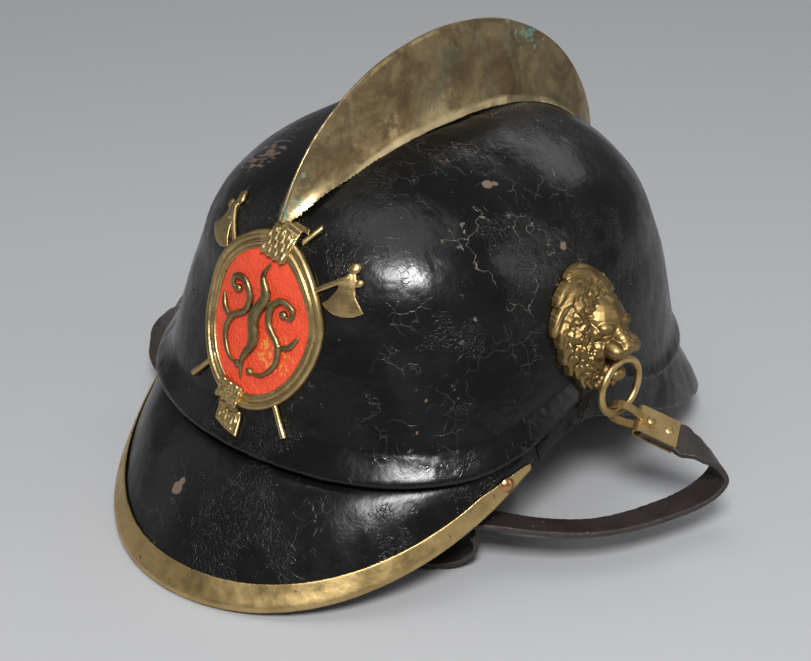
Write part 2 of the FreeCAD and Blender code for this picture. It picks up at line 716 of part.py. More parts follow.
def boss_height(y, z):
    """The mask stands out as a rounded oval with a blunt muzzle on its lower half."""
    oval = ((y - BOSS_Y) / BOSS_HALF_LENGTH) ** 2 + ((z - BOSS_Z) / BOSS_HALF_HEIGHT) ** 2
    muzzle = ((y - MOUTH_Y) / 6.9) ** 2 + ((z - MOUTH_Z) / 9.0) ** 2
    root = side_point(y, z, boss_root(y, z)).x + 1.2
    return root + (107.0 - root) * math.sqrt(max(0.0, 1.0 - oval)) + 12.0 * math.exp(-1.4 * muzzle ** 2)


def boss_root(y, z):
    """Back of the mask: it sits on the skull and clears the welt."""
    angle = 90.0
    over = max(0.0, min(1.0, (seam_z(angle) + 9.0 - z) / 4.0))
    return 0.5 + 3.2 * over * over * (3.0 - 2.0 * over)


def lion_boss():
    """The mask's bulk: an oval boss with a muzzle that is bored through for the ring."""
    def point(i, j, face):
        u, v = i / 12.0, j / 12.0
        y = BOSS_Y + BOSS_HALF_LENGTH * 0.995 * u * math.sqrt(1.0 - v * v / 2.0)
        z = BOSS_Z + BOSS_HALF_HEIGHT * 0.995 * v * math.sqrt(1.0 - u * u / 2.0)
        root = side_point(y, z, boss_root(y, z))
        return V(boss_height(y, z), y, z) if face else root
    span = range(-12, 13)
    mask = patch_solid(*[[[point(i, j, face) for i in span] for j in span] for face in (True, False)])
    return mask.cut(Part.makeCylinder(MOUTH_TUNNEL, 40.0, V(MOUTH_X, MOUTH_Y - 20.0, MOUTH_Z), V(0, 1, 0)))


BOSS_STUDS = ((-7.0, 112.0), (13.0, 112.0))


def boss_stud_axis(y, z):
    base = side_point(y, z)
    along = side_point(y + 1.0, z) - side_point(y - 1.0, z)
    rise = side_point(y, z + 1.0) - side_point(y, z - 1.0)
    return base, along.cross(rise).normalize()


def boss_stud(y, z):
    base, out = boss_stud_axis(y, z)
    return Part.makeCylinder(STUD_RADIUS, STUD_TAIL + 0.3, base - out * STUD_TAIL, out)


def ring():
    middle = V(MOUTH_X, MOUTH_Y, MOUTH_Z - RING_RADIUS)
    return Part.makeTorus(RING_RADIUS, RING_WIRE, middle, V(1, 0, 0))


# ================================ chin strap ================================
LEFT_PULL, LEFT_WIDTH = V(0.72, 0.55, -0.42), V(0.474, -0.835, -0.277)
RIGHT_PULL, RIGHT_WIDTH = V(-0.25, -0.79, -0.56), V(0.0, -0.574, 0.819)
LOOP_REACH, CLAMP_LENGTH, CLAMP_HALF_WIDTH = 10.0, 18.0, 7.4
RIGHT_LOOP_TURN = 55.0                      # the right loop has slid this far forward along its ring
CLAMP_RIVETS = (4.5, 13.5)


def left_loop_point():
    return V(MOUTH_X, MOUTH_Y, MOUTH_Z - 2.0 * RING_RADIUS)


def right_loop_point():
    a = math.radians(RIGHT_LOOP_TURN)
    y = MOUTH_Y - RING_RADIUS * math.sin(a)
    return V(-MOUTH_X, y, MOUTH_Z - RING_RADIUS - RING_RADIUS * math.cos(a))


def strap_frame(side):
    """Start of the clamp and the directions along, across and through the strap there."""
    start, pull, width = left_loop_point(), LEFT_PULL, LEFT_WIDTH
    if side < 0:
        start, pull, width = right_loop_point(), RIGHT_PULL, RIGHT_WIDTH
    along = V(pull).normalize()
    across = (width - along * width.dot(along)).normalize()
    return start + along * LOOP_REACH, along, across, across.cross(along)


def folded_strip(side, outline, half_width):
    """A bent strip: outline holds (along, through) corners from the clamp's start."""
    start, along, across, through = strap_frame(side)
    corners = [start + along * a + through * t - across * half_width for a, t in outline]
    return Part.Face(Part.makePolygon(corners + corners[:1])).extrude(across * (2.0 * half_width))


def thick_outline(path, thickness):
    """Both sides of an open path, as one closed outline."""
    left, right = [], []
    for k, (a, t) in enumerate(path):
        ahead = path[min(k + 1, len(path) - 1)]
        behind = path[max(k - 1, 0)]
        length = math.hypot(ahead[0] - behind[0], ahead[1] - behind[1])
        step_a = -(ahead[1] - behind[1]) / length * thickness / 2.0
        step_t = (ahead[0] - behind[0]) / length * thickness / 2.0
        left.append((a + step_a, t + step_t))
        right.append((a - step_a, t - step_t))
    return left + right[::-1]


def strap_loop(side):
    """A teardrop strip round the ring whose two legs lie on the clamp."""
    upper = [(7.0, 2.9), (4.0, 2.9), (1.0, 2.95), (-1.5, 3.7), (-4.5, 4.7), (-7.5, 5.2), (-10.0, 5.0)]
    upper += [(-12.2, 4.2), (-13.8, 2.9), (-14.8, 1.1)]
    path = upper + [(a, -t) for a, t in upper[::-1]]
    return folded_strip(side, thick_outline(path, 0.7), 2.0)


def strap_clamp(side):
    """A folded plate over the strap's end."""
    height = STRAP_THICK / 2.0 + CLAMP_GAP + CLAMP_THICK / 2.0
    upper = [(CLAMP_LENGTH, height), (0.6, height)]
    for turn in (30, 60):
        a = math.radians(turn)
        upper.append((0.6 - height * math.sin(a), height * math.cos(a)))
    path = upper + [(0.6 - height, 0.0)] + [(a, -t) for a, t in upper[::-1]]
    return folded_strip(side, thick_outline(path, CLAMP_THICK), CLAMP_HALF_WIDTH)


def clamp_rivet(side, place, radius=1.2):
    start, along, across, through = strap_frame(side)
    half = STRAP_THICK / 2.0 + CLAMP_GAP + CLAMP_THICK + (0.95 if place < 7.0 else 0.1)
    middle = start + along * place
    shank = Part.makeCylinder(radius, 2.0 * half, middle - through * half, through)
    heads = [domed_head(middle + through * half, through, 2.1, 0.8)]
    heads.append(domed_head(middle - through * half, through * -1, 2.1, 0.8))
    return shank.fuse(heads)


def clamp_rivet_hole(side, place):
    start, along, across, through = strap_frame(side)
    return Part.makeCylinder(1.3, 14.0, start + along * place - through * 7.0, through)


LEFT_POINTS = (
    (139.2, 28.6, 48.8), (144.2, 35.8, 41.6), (145.6, 39.2, 32.8), (142.5, 34.0, 25.0), (137.0, 19.0, 21.0),
    (129.0, -2.0, 19.5), (116.0, -25.0, 21.0), (100.0, -42.0, 24.0), (83.0, -54.0, 25.5), (66.0, -62.0, 22.0),
    (54.5, -69.0, 14.0), (50.5, -72.8, 7.2), (54.5, -71.0, 2.6), (64.0, -64.5, 1.9), (73.0, -57.5, 2.7),
    (80.0, -51.8, 6.6), (83.0, -49.4, 12.4), (81.5, -50.6, 18.0),
)
LEFT_ACROSS = (
    (0.62, -0.76, -0.05), (0.78, -0.60, 0.10), (0.85, -0.48, 0.12), (0.90, -0.38, 0.15), (0.92, -0.33, 0.18),
    (0.87, -0.44, 0.22), (0.77, -0.60, 0.22), (0.68, -0.70, 0.20), (0.58, -0.80, 0.12), (0.50, -0.86, 0.05),
    (0.56, -0.83, 0.0), (0.62, -0.78, 0.0), (0.64, -0.77, 0.0), (0.64, -0.77, 0.0), (0.64, -0.77, 0.0),
    (0.64, -0.77, 0.0), (0.64, -0.77, 0.0), (0.64, -0.77, 0.0),
)
RIGHT_POINTS = (
    (-121.5, -32.5, 47.6), (-125.5, -42.5, 40.5), (-125.5, -48.0, 30.5), (-121.5, -48.5, 20.0),
    (-111.0, -43.0, 11.6), (-93.0, -35.0, 5.8), (-76.0, -33.0, 2.8), (-60.0, -33.3, 3.2),
    (-44.7, -34.6, 4.6), (-36.0, -35.5, 4.7), (-27.4, -36.3, 4.7),
)
RIGHT_ACROSS = (
    (0.40, -0.55, 0.72), (0.80, -0.42, 0.38), (0.96, -0.05, 0.22), (0.72, 0.45, 0.52),
    (0.30, 0.85, 0.42), (0.12, 0.97, 0.20), (0.05, 1.0, 0.0), (0.05, 1.0, 0.0),
    (0.1, 0.995, 0.0), (0.1, 0.995, 0.0), (0.1, 0.995, 0.0),
)


def evenly_blend(points, directions, count):
    """Directions given at hand-placed points, read off at the even steps between them."""
    runs = [0.0]
    for p, q in zip(points[:-1], points[1:]):
        runs.append(runs[-1] + (q - p).Length)
    result = []
    for k in range(count):
        place = runs[-1] * k / (count - 1.0)
        i = max(j for j in range(len(runs) - 1) if runs[j] <= place + 1e-9)
        share = (place - runs[i]) / (runs[i + 1] - runs[i])
        share = share * share * (3.0 - 2.0 * share)
        result.append(directions[i] * (1.0 - share) + directions[i + 1] * share)
    return result


def strap(side):
    start, along, across, through = strap_frame(side)
    middle = [start + along * a for a in (2.0, 7.0, 12.5, CLAMP_LENGTH, CLAMP_LENGTH + 3.0)]
    widths = [across] * 5
    points = LEFT_POINTS if side > 0 else RIGHT_POINTS
    sides = LEFT_ACROSS if side > 0 else RIGHT_ACROSS
    middle += [V(*p) for p in points]
    widths += [V(*w) for w in sides]
    count = int(sum((q - p).Length for p, q in zip(middle[:-1], middle[1:])) / 3.0)
    line, turn = evenly(middle, count), evenly_blend(middle, widths, count)
    rows = []
    for k, point in enumerate(line):
        ahead = (line[min(k + 1, count - 1)] - line[max(k - 1, 0)]).normalize()
        wide = (turn[k] - ahead * turn[k].dot(ahead)).normalize()
        near = min(1.0, max(0.0, (point - start).dot(along) / CLAMP_LENGTH)) if k < 12 else 2.0
        if near < 0.9:
            point, wide = start + along * (point - start).dot(along), across
        half = STRAP_WIDTH / 2.0 - (1.4 if near < 1.0 else 0.0)
        rows.append([point + wide * (half * e) for e in (-1.0, -0.5, 0.0, 0.5, 1.0)])
    solid = sheet_solid(rows, STRAP_THICK)
    for place in CLAMP_RIVETS:
        solid = solid.cut(clamp_rivet_hole(side, place))
    return solid


BUCKLE_BAR, BUCKLE_BAR_RADIUS = V(-18.8, -37.2, 4.7), 1.3
BUCKLE_LENGTH, BUCKLE_HALF_WIDTH, BUCKLE_DROP = 15.5, 11.5, 11.5


def buckle_bar_direction():
    return V(0.1, 0.995, 0.0).normalize()


def buckle_ahead():
    """From the bar towards the buckle's free end, which rests lower than the bar."""
    side = buckle_bar_direction()
    flat = V(side.y, -side.x, 0.0)
    return flat * math.cos(math.radians(BUCKLE_DROP)) - V(0, 0, 1) * math.sin(math.radians(BUCKLE_DROP))


def buckle_frame():
    side, ahead = buckle_bar_direction() * BUCKLE_HALF_WIDTH, buckle_ahead() * BUCKLE_LENGTH
    corners = [BUCKLE_BAR - side, BUCKLE_BAR + side, BUCKLE_BAR + side + ahead, BUCKLE_BAR - side + ahead]
    solids = []
    for first, second in zip(corners, corners[1:] + corners[:1]):
        span = second - first
        solids.append(Part.makeCylinder(BUCKLE_BAR_RADIUS, span.Length, first, span))
        solids.append(Part.makeSphere(BUCKLE_BAR_RADIUS, first))
    return solids[0].fuse(solids[1:])


def buckle_prong():
    side, ahead = buckle_bar_direction(), buckle_ahead()
    up = ahead.cross(side)
    if up.z < 0:
        up = up * -1
    hub = Part.makeCylinder(2.5, 3.2, BUCKLE_BAR - side * 1.6, side)
    tip = BUCKLE_BAR + ahead * (BUCKLE_LENGTH + 1.6) + up * (BUCKLE_BAR_RADIUS + 1.4)
    root = BUCKLE_BAR + up * 1.4
    pin = Part.makeCylinder(1.0, (tip - root).Length, root, tip - root)
    bore = Part.makeCylinder(BUCKLE_BAR_RADIUS + 0.06, 8.0, BUCKLE_BAR - side * 4.0, side)
    return hub.fuse(pin).cut(bore)


CHAPE_THICK, CHAPE_BEND, CHAPE_LENGTH, LAP_RIVETS = 1.6, 2.55, 24.0, ((-15.5, -4.4), (-15.5, 4.4))


def buckle_chape():
    """The folded leather that holds the buckle's bar, with the strap's end between its legs."""
    side = buckle_bar_direction()
    ahead = V(side.y, -side.x, 0.0)
    path = [(-CHAPE_LENGTH, CHAPE_BEND), (0.0, CHAPE_BEND)]
    for turn in range(15, 180, 15):
        a = math.radians(turn)
        path.append((CHAPE_BEND * math.sin(a), CHAPE_BEND * math.cos(a)))
    path += [(0.0, -CHAPE_BEND), (-CHAPE_LENGTH, -CHAPE_BEND)]
    outline = thick_outline(path, CHAPE_THICK)
    corner = BUCKLE_BAR - side * (STRAP_WIDTH / 2.0)
    points = [corner + ahead * a + V(0, 0, t) for a, t in outline]
    return Part.Face(Part.makePolygon(points + points[:1])).extrude(side * STRAP_WIDTH)


def lap_place(along, across):
    side = buckle_bar_direction()
    return BUCKLE_BAR + V(side.y, -side.x, 0.0) * along + side * across


def lap_rivet(along, across):
    """Goes through the chape and the strap's end."""
    place, up = lap_place(along, across), V(0, 0, 1)
    half = CHAPE_BEND + CHAPE_THICK / 2.0 + 0.08
    shank = Part.makeCylinder(1.2, 2.0 * half, place - up * half)
    foot = Part.makeCylinder(2.1, 0.35, place - up * (half + 0.35))
    return shank.fuse([domed_head(place + up * half, up, 2.1, 0.8), foot])


def lap_holes(solid):
    for along, across in LAP_RIVETS:
        solid = solid.cut(Part.makeCylinder(1.3, 14.0, lap_place(along, across) - V(0, 0, 7.0)))
    return solid


def prong_slot(solid):
    """Cut the slot in the fold that the prong passes through."""
    side = buckle_bar_direction()
    ahead = V(side.y, -side.x, 0.0)
    corner = BUCKLE_BAR - ahead * 5.0 - side * 2.3 - V(0, 0, 8.0)
    box = Part.makeBox(12.0, 4.6, 16.0)
    box.Placement = FreeCAD.Placement(corner, FreeCAD.Rotation(ahead, side, V(0, 0, 1), "XZY"))
    return solid.cut(box)


# ================================ assembly ================================
def build():
    parts = {}
    stud_axes = [comb_stud_axis(turn) for turn in COMB_STUD_TURNS]
    badge_axes_list = [badge_stud_axis(up) for up in BADGE_STUD_UPS]
    boss_axes = [boss_stud_axis(y, z) for y, z in BOSS_STUDS]
    mirror_axes = [(V(-b.x, b.y, b.z), V(-o.x, o.y, o.z)) for b, o in boss_axes]
    shell = skull_shell()
    for base, out in stud_axes + badge_axes_list + boss_axes + mirror_axes:
        shell = shell.cut(fixing("hole", base, out))
    parts["skull_shell"] = [shell]
    parts["rim_welt"] = [rim_welt()]
    holes = [trim_rivet_hole(1), trim_rivet_hole(-1)]
    parts["front_peak"] = [front_peak().cut(holes)]
    parts["peak_trim"] = [peak_trim().cut(holes)]
    parts["peak_trim_rivets"] = [trim_rivet(1), trim_rivet(-1)]
    parts["neck_guard"] = [neck_guard()]
    parts["sweatband"] = [sweatband()]
    step = 360.0 / TONGUE_COUNT
    parts["liner_tongues"] = [liner_tongue(step * (k + 0.5)) for k in range(TONGUE_COUNT)]
    parts["comb_left"] = [comb_side(False)]
    parts["comb_right"] = [comb_side(True)]
    parts["comb_ridge"] = [comb_ridge()]
    parts["comb_studs"] = [comb_stud(turn) for turn in COMB_STUD_TURNS]
    parts["comb_washers"] = [fixing("washer", base, out) for base, out in stud_axes]
    parts["comb_nuts"] = [fixing("nut", base, out) for base, out in stud_axes]
    parts["badge_frame"] = [badge_frame()]
    parts["badge_field"] = [badge_field()]
    parts["badge_axes"] = badge_axes()
    parts["badge_knots"] = badge_knots()
    parts["badge_tail"] = [badge_tail()]
    parts["badge_top_plate"] = [badge_top_plate()]
    parts["badge_ornament"] = badge_ornament()
    parts["badge_studs"] = [badge_stud(up) for up in BADGE_STUD_UPS]
    parts["badge_washers"] = [fixing("washer", base, out) for base, out in badge_axes_list]
    parts["badge_nuts"] = [fixing("nut", base, out) for base, out in badge_axes_list]
    boss = lion_boss()
    parts["lion_boss_left"] = [boss]
    parts["lion_boss_right"] = [mirrored(boss)]
    studs = [boss_stud(y, z) for y, z in BOSS_STUDS]
    parts["boss_studs"] = studs + [mirrored(stud) for stud in studs]
    parts["boss_washers"] = [fixing("washer", base, out) for base, out in boss_axes + mirror_axes]
    parts["boss_nuts"] = [fixing("nut", base, out) for base, out in boss_axes + mirror_axes]
    parts["ring_left"] = [ring()]
    parts["ring_right"] = [mirrored(ring())]
    for side, name in ((1, "left"), (-1, "right")):
        parts["strap_loop_" + name] = [strap_loop(side).cut(clamp_rivet_hole(side, CLAMP_RIVETS[0]))]
        holes = [clamp_rivet_hole(side, place) for place in CLAMP_RIVETS]
        parts["strap_clamp_" + name] = [strap_clamp(side).cut(holes)]
        parts["clamp_rivets_" + name] = [clamp_rivet(side, place) for place in CLAMP_RIVETS]
    parts["chin_strap_left"] = [strap(1)]
    parts["chin_strap_right"] = [lap_holes(strap(-1))]
    parts["buckle_chape"] = [lap_holes(prong_slot(buckle_chape()))]
    parts["lap_rivets"] = [lap_rivet(along, across) for along, across in LAP_RIVETS]
    parts["buckle_frame"] = [buckle_frame()]
    parts["buckle_prong"] = [buckle_prong()]
    return parts


if __name__ == "__main__":
    os.makedirs("parts", exist_ok=True)
    for name, solids in build().items():
        export(name, solids)
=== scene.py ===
"""Looks for a leather firefighter helmet: worked leather, relief brass, lion masks, light and camera."""

import math

import bmesh
import bpy
import numpy as np
from mathutils import Matrix, Vector, noise
from mathutils.bvhtree import BVHTree


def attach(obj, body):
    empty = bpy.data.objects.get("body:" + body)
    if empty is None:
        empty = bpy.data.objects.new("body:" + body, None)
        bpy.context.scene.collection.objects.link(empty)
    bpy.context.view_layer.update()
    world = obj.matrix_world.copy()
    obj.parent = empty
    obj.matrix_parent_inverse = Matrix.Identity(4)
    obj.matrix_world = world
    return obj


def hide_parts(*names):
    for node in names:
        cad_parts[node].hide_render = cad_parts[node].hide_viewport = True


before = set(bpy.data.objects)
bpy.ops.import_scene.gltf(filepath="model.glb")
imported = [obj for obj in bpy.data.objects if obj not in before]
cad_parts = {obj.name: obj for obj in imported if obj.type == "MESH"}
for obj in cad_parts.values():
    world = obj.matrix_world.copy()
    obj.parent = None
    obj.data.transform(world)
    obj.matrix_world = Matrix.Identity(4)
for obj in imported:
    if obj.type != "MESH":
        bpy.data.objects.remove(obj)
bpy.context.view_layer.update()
MM = 0.001


# ================================ meshes ================================
def add_object(name, mesh):
    obj = bpy.data.objects.new(name, mesh)
    bpy.context.scene.collection.objects.link(obj)
    return obj


def mesh_from(name, points, faces, scale=MM):
    mesh = bpy.data.meshes.new(name)
    mesh.from_pydata([tuple(c * scale for c in p) for p in points], [], faces)
    mesh.update()
    return add_object(name, mesh)


def copy_nodes(name, nodes):
    """One object with copies of the meshes of several CAD nodes."""
    bm = bmesh.new()
    for node in nodes:
        bm.from_mesh(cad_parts[node].data)
    mesh = bpy.data.meshes.new(name)
    bm.to_mesh(mesh)
    bm.free()
    return add_object(name, mesh)


def apply_modifiers(obj):
    graph = bpy.context.evaluated_depsgraph_get()
    mesh = bpy.data.meshes.new_from_object(obj.evaluated_get(graph))
    obj.modifiers.clear()
    obj.data = mesh


def remesh(obj, voxel, smoothing=4):
    """Fuse what the object holds into one skin and round its corners."""
    grid = obj.modifiers.new("skin", "REMESH")
    grid.mode = "VOXEL"
    grid.voxel_size = voxel * MM
    soften = obj.modifiers.new("soften", "SMOOTH")
    soften.factor = 0.5
    soften.iterations = smoothing
    apply_modifiers(obj)
    obj.data.shade_smooth()
    return obj


def coordinates(obj):
    points = np.empty(len(obj.data.vertices) * 3)
    obj.data.vertices.foreach_get("co", points)
    return points.reshape(-1, 3) / MM


def set_coordinates(obj, points):
    obj.data.vertices.foreach_set("co", (points * MM).ravel())
    obj.data.update()


def vertex_normals(obj):
    values = np.empty(len(obj.data.vertices) * 3)
    obj.data.vertex_normals.foreach_get("vector", values)
    return values.reshape(-1, 3)


def roughen(obj, grains, seed=0.0):
    """Uneven surface: grains are (size in mm, height in mm) pairs."""
    points, normals = coordinates(obj), vertex_normals(obj)
    shift = Vector((seed, seed * 1.7, seed * 0.3))
    push = np.zeros(len(points))
    for size, height in grains:
        push += height * np.array([noise.noise(Vector(p) / size + shift) for p in points])
    set_coordinates(obj, points + normals * push[:, None])
    return obj


def mark(obj, name, values):
    layer = obj.data.attributes.new(name, "FLOAT", "POINT")
    layer.data.foreach_set("value", np.asarray(values, dtype=np.float32))


def mark_inside(obj, centre):
    """1 where the surface faces the hollow for the head."""
    points, normals = coordinates(obj), vertex_normals(obj)
    away = ((points - np.array(centre)) * normals).sum(axis=1)
    mark(obj, "inside", (away < 0.0).astype(float))


def place(obj, body, slot, *nodes, material=None):
    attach(obj, body)
    if nodes:
        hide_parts(*nodes)
    if material:
        obj.data.materials.clear()
        obj.data.materials.append(material)
    return obj


# ================================ materials ================================
POINTINESS = 7          # the Geometry node's output that tells ridges from hollows


class Graph:
    """Short hand for building a material's nodes."""

    def __init__(self, name):
        self.material = bpy.data.materials.new(name)
        self.material.use_nodes = True
        self.nodes = self.material.node_tree.nodes
        self.links = self.material.node_tree.links
        self.shader = self.nodes["Principled BSDF"]
        self.place = self.nodes.new("ShaderNodeTexCoord").outputs["Object"]

    def put(self, socket, value):
        if isinstance(value, bpy.types.NodeSocket):
            self.links.new(value, socket)
        elif isinstance(value, tuple) and len(value) == 3 and socket.type == "RGBA":
            socket.default_value = (*value, 1.0)
        else:
            socket.default_value = value

    def add(self, kind, output=0, settings=None, **inputs):
        node = self.nodes.new(kind)
        for key, value in (settings or {}).items():
            setattr(node, key, value)
        for key, value in inputs.items():
            by_number = key[0] == "i" and key[1:].isdigit()
            self.put(node.inputs[int(key[1:]) if by_number else key.replace("_", " ")], value)
        return node.outputs[output]

    def math(self, operation, a, b=0.0, c=0.0, clamp=False):
        return self.add("ShaderNodeMath", 0, {"operation": operation, "use_clamp": clamp}, i0=a, i1=b, i2=c)

    def vector(self, operation, a, b, output=0):
        return self.add("ShaderNodeVectorMath", output, {"operation": operation}, i0=a, i1=b)

    def stretch(self, scale, turn=(0.0, 0.0, 0.0)):
        return self.add("ShaderNodeMapping", 0, None, Vector=self.place, Scale=scale, Rotation=turn)

    def noise(self, scale, detail=4.0, rough=0.55, at=None, warp=0.0):
        where = at if at is not None else self.place
        return self.add("ShaderNodeTexNoise", 0, None, Vector=where, Scale=scale, Detail=detail,
                        Roughness=rough, Distortion=warp)

    def bent(self, scale, amount):
        """The object's coordinates, pushed about by noise, for lines that wander."""
        wobble = self.add("ShaderNodeTexNoise", 1, None, Vector=self.place, Scale=scale, Detail=3.0)
        centred = self.vector("SUBTRACT", wobble, (0.5, 0.5, 0.5))
        sized = self.vector("MULTIPLY", centred, (amount, amount, amount))
        return self.vector("ADD", self.place, sized)

    def cells(self, scale, at=None, feature="DISTANCE_TO_EDGE"):
        where = at if at is not None else self.place
        return self.add("ShaderNodeTexVoronoi", 0, {"feature": feature}, Vector=where, Scale=scale)

    def span(self, value, low, high, to_low=0.0, to_high=1.0):
        return self.add("ShaderNodeMapRange", 0, {"interpolation_type": "SMOOTHSTEP"},
                        i0=value, i1=low, i2=high, i3=to_low, i4=to_high)

    def mix(self, share, a, b):
        """Colour a where share is 0, b where it is 1."""
        node = self.nodes.new("ShaderNodeMix")
        node.data_type = "RGBA"
        self.put(node.inputs[0], share)
        self.put(node.inputs[6], a)
        self.put(node.inputs[7], b)
        return node.outputs[2]

    def both(self, a, b):
        return self.math("MULTIPLY", a, b)

    def either(self, a, b):
        return self.math("MAXIMUM", a, b)

    def attribute(self, name):
        return self.add("ShaderNodeAttribute", 2, {"attribute_name": name})

    def pointiness(self, low, high):
        return self.span(self.add("ShaderNodeNewGeometry", POINTINESS), low, high)

    def edges(self, low, high):
        return self.pointiness(low, high)

    def hollows(self, low=0.47, high=0.38):
        return self.pointiness(low, high)

    def spot(self, centre, radius, ragged=0.6):
        """A ragged patch round a point given in mm."""
        where = self.bent(260.0, radius * ragged * MM)
        away = self.vector("DISTANCE", where, tuple(c * MM for c in centre), 1)
        return self.span(away, radius * MM, radius * 0.8 * MM)

    def finish(self, colour, roughness, metallic=0.0, height=None, depth=0.0002, **extra):
        self.put(self.shader.inputs["Base Color"], colour)
        self.put(self.shader.inputs["Roughness"], roughness)
        self.put(self.shader.inputs["Metallic"], metallic)
        for key, value in extra.items():
            self.put(self.shader.inputs[key.replace("_", " ")], value)
        if height is not None:
            bump = self.add("ShaderNodeBump", 0, None, Strength=1.0, Distance=depth, Height=height)
            self.put(self.shader.inputs["Normal"], bump)
        return self.material


CHIPS = (((44.6, -86.8, 85.7), 3.6), ((52.3, -13.2, 159.6), 2.6), ((53.5, -10.0, 158.6), 2.0),
         ((84.0, 2.0, 137.0), 3.0), ((-17.0, -134.0, 33.0), 3.6), ((38.0, -146.0, 16.0), 2.8),
         ((-16.0, -132.0, 36.0), 2.6), ((72.5, -45.2, 131.4), 1.8))


def black_leather():
    g = Graph("black_leather")
    worn_area = g.span(g.noise(16.0, 3.0), 0.42, 0.62)
    fine = g.cells(620.0, g.bent(300.0, 0.002))
    craze = g.both(g.span(fine, 0.09, 0.0), g.span(g.noise(28.0, 4.0), 0.5, 0.66))
    crown = g.either(g.spot((68.0, -12.0, 148.0), 44.0, 0.9), g.spot((35.0, 20.0, 165.0), 30.0, 0.9))
    long_lines = g.cells(38.0, g.bent(75.0, 0.026))
    cracks = g.both(g.span(long_lines, 0.012, 0.0), g.span(g.noise(30.0, 3.0), 0.5, 0.56))
    cracks = g.both(cracks, g.math("ADD", g.both(crown, 0.8), 0.2))
    mid_lines = g.cells(120.0, g.bent(120.0, 0.008))
    mid_cracks = g.both(g.span(mid_lines, 0.022, 0.0), g.span(g.noise(34.0, 3.0), 0.58, 0.66))
    mid_cracks = g.both(mid_cracks, g.math("ADD", g.both(crown, 0.6), 0.25))
    scratch_a = g.span(g.noise(1.0, 2.0, at=g.stretch((60.0, 1500.0, 240.0), (0.3, 0.5, 0.9))), 0.7, 0.76)
    scratch_b = g.span(g.noise(1.0, 2.0, at=g.stretch((1300.0, 90.0, 160.0), (0.8, 0.2, -0.5))), 0.7, 0.77)
    scratches = g.both(g.either(scratch_a, scratch_b), worn_area)
    chips = g.both(g.span(g.noise(210.0, 5.0, 0.6), 0.67, 0.7), g.span(g.noise(24.0, 2.0), 0.5, 0.6))
    for centre, radius in CHIPS:
        chips = g.either(chips, g.spot(centre, radius))
    scrape_line = g.span(g.noise(1.0, 3.0, at=g.stretch((90.0, 420.0, 420.0))), 0.44, 0.6)
    scrape = g.both(g.spot((-45.0, -48.0, 153.0), 13.0, 1.4), scrape_line)
    base = g.mix(g.noise(60.0, 5.0), (0.003, 0.0029, 0.0028), (0.007, 0.0065, 0.006))
    base = g.mix(g.both(craze, 0.5), base, (0.026, 0.024, 0.021))
    base = g.mix(g.both(scratches, 0.75), base, (0.10, 0.094, 0.085))
    base = g.mix(g.either(cracks, mid_cracks), base, (0.15, 0.12, 0.095))
    base = g.mix(g.edges(0.53, 0.64), base, (0.075, 0.05, 0.035))
    base = g.mix(g.either(chips, scrape), base, (0.15, 0.105, 0.075))
    inner = g.mix(g.noise(120.0, 6.0), (0.035, 0.022, 0.014), (0.085, 0.055, 0.034))
    inside = g.attribute("inside")
    base = g.mix(inside, base, inner)
    polish = g.span(g.noise(45.0, 5.0), 0.3, 0.7, 0.17, 0.33)
    rough = g.math("ADD", polish, g.both(g.either(chips, craze), 0.25))
    rough = g.math("ADD", rough, g.both(inside, 0.4), clamp=True)
    height = g.math("MULTIPLY", g.either(g.either(cracks, mid_cracks), g.either(craze, chips)), -1.0)
    height = g.math("ADD", height, g.both(g.noise(420.0, 3.0), 0.5))
    height = g.math("ADD", height, g.both(g.noise(90.0, 3.0), 0.9))
    return g.finish(base, rough, 0.0, height, 0.00020, Specular_IOR_Level=0.34)


def plain_leather(name, dark, light, edge, rough=0.5):
    g = Graph(name)
    grain = g.cells(900.0, g.bent(400.0, 0.001))
    base = g.mix(g.noise(90.0, 6.0), dark, light)
    base = g.mix(g.span(g.noise(40.0, 3.0), 0.55, 0.75), base, light)
    base = g.mix(g.edges(0.53, 0.6), base, edge)
    height = g.math("ADD", g.both(g.span(grain, 0.0, 0.2), 0.4), g.noise(300.0, 4.0))
    roughness = g.span(g.noise(70.0, 4.0), 0.3, 0.7, rough - 0.1, rough + 0.15)
    return g.finish(base, roughness, 0.0, height, 0.00025)


def aged_metal(name, bright, deep, grime_and_shade, rough=(0.24, 0.42), bumps=0.00008, scale=60.0):
    g = Graph(name)
    base = g.mix(g.span(g.noise(scale, 6.0, 0.62), 0.36, 0.66), bright, deep)
    # Painted shade: the hollows are darkened towards the dark colour, which the next line also uses for real
    # grime in random spots
    base = g.mix(g.both(g.hollows(), 0.85), base, grime_and_shade)
    base = g.mix(g.span(g.noise(scale * 6.0, 4.0), 0.66, 0.74), base, grime_and_shade)
    base = g.mix(g.both(g.edges(0.54, 0.66), 0.6), base, tuple(min(1.0, c * 1.2) for c in bright))
    height = g.math("ADD", g.noise(500.0, 5.0), g.both(g.noise(90.0, 2.0), 2.0))
    polish = g.span(g.noise(scale * 1.7, 5.0), 0.3, 0.7, *rough)
    roughness = g.math("ADD", polish, g.both(g.hollows(), 0.25))
    return g.finish(base, roughness, 1.0, height, bumps)


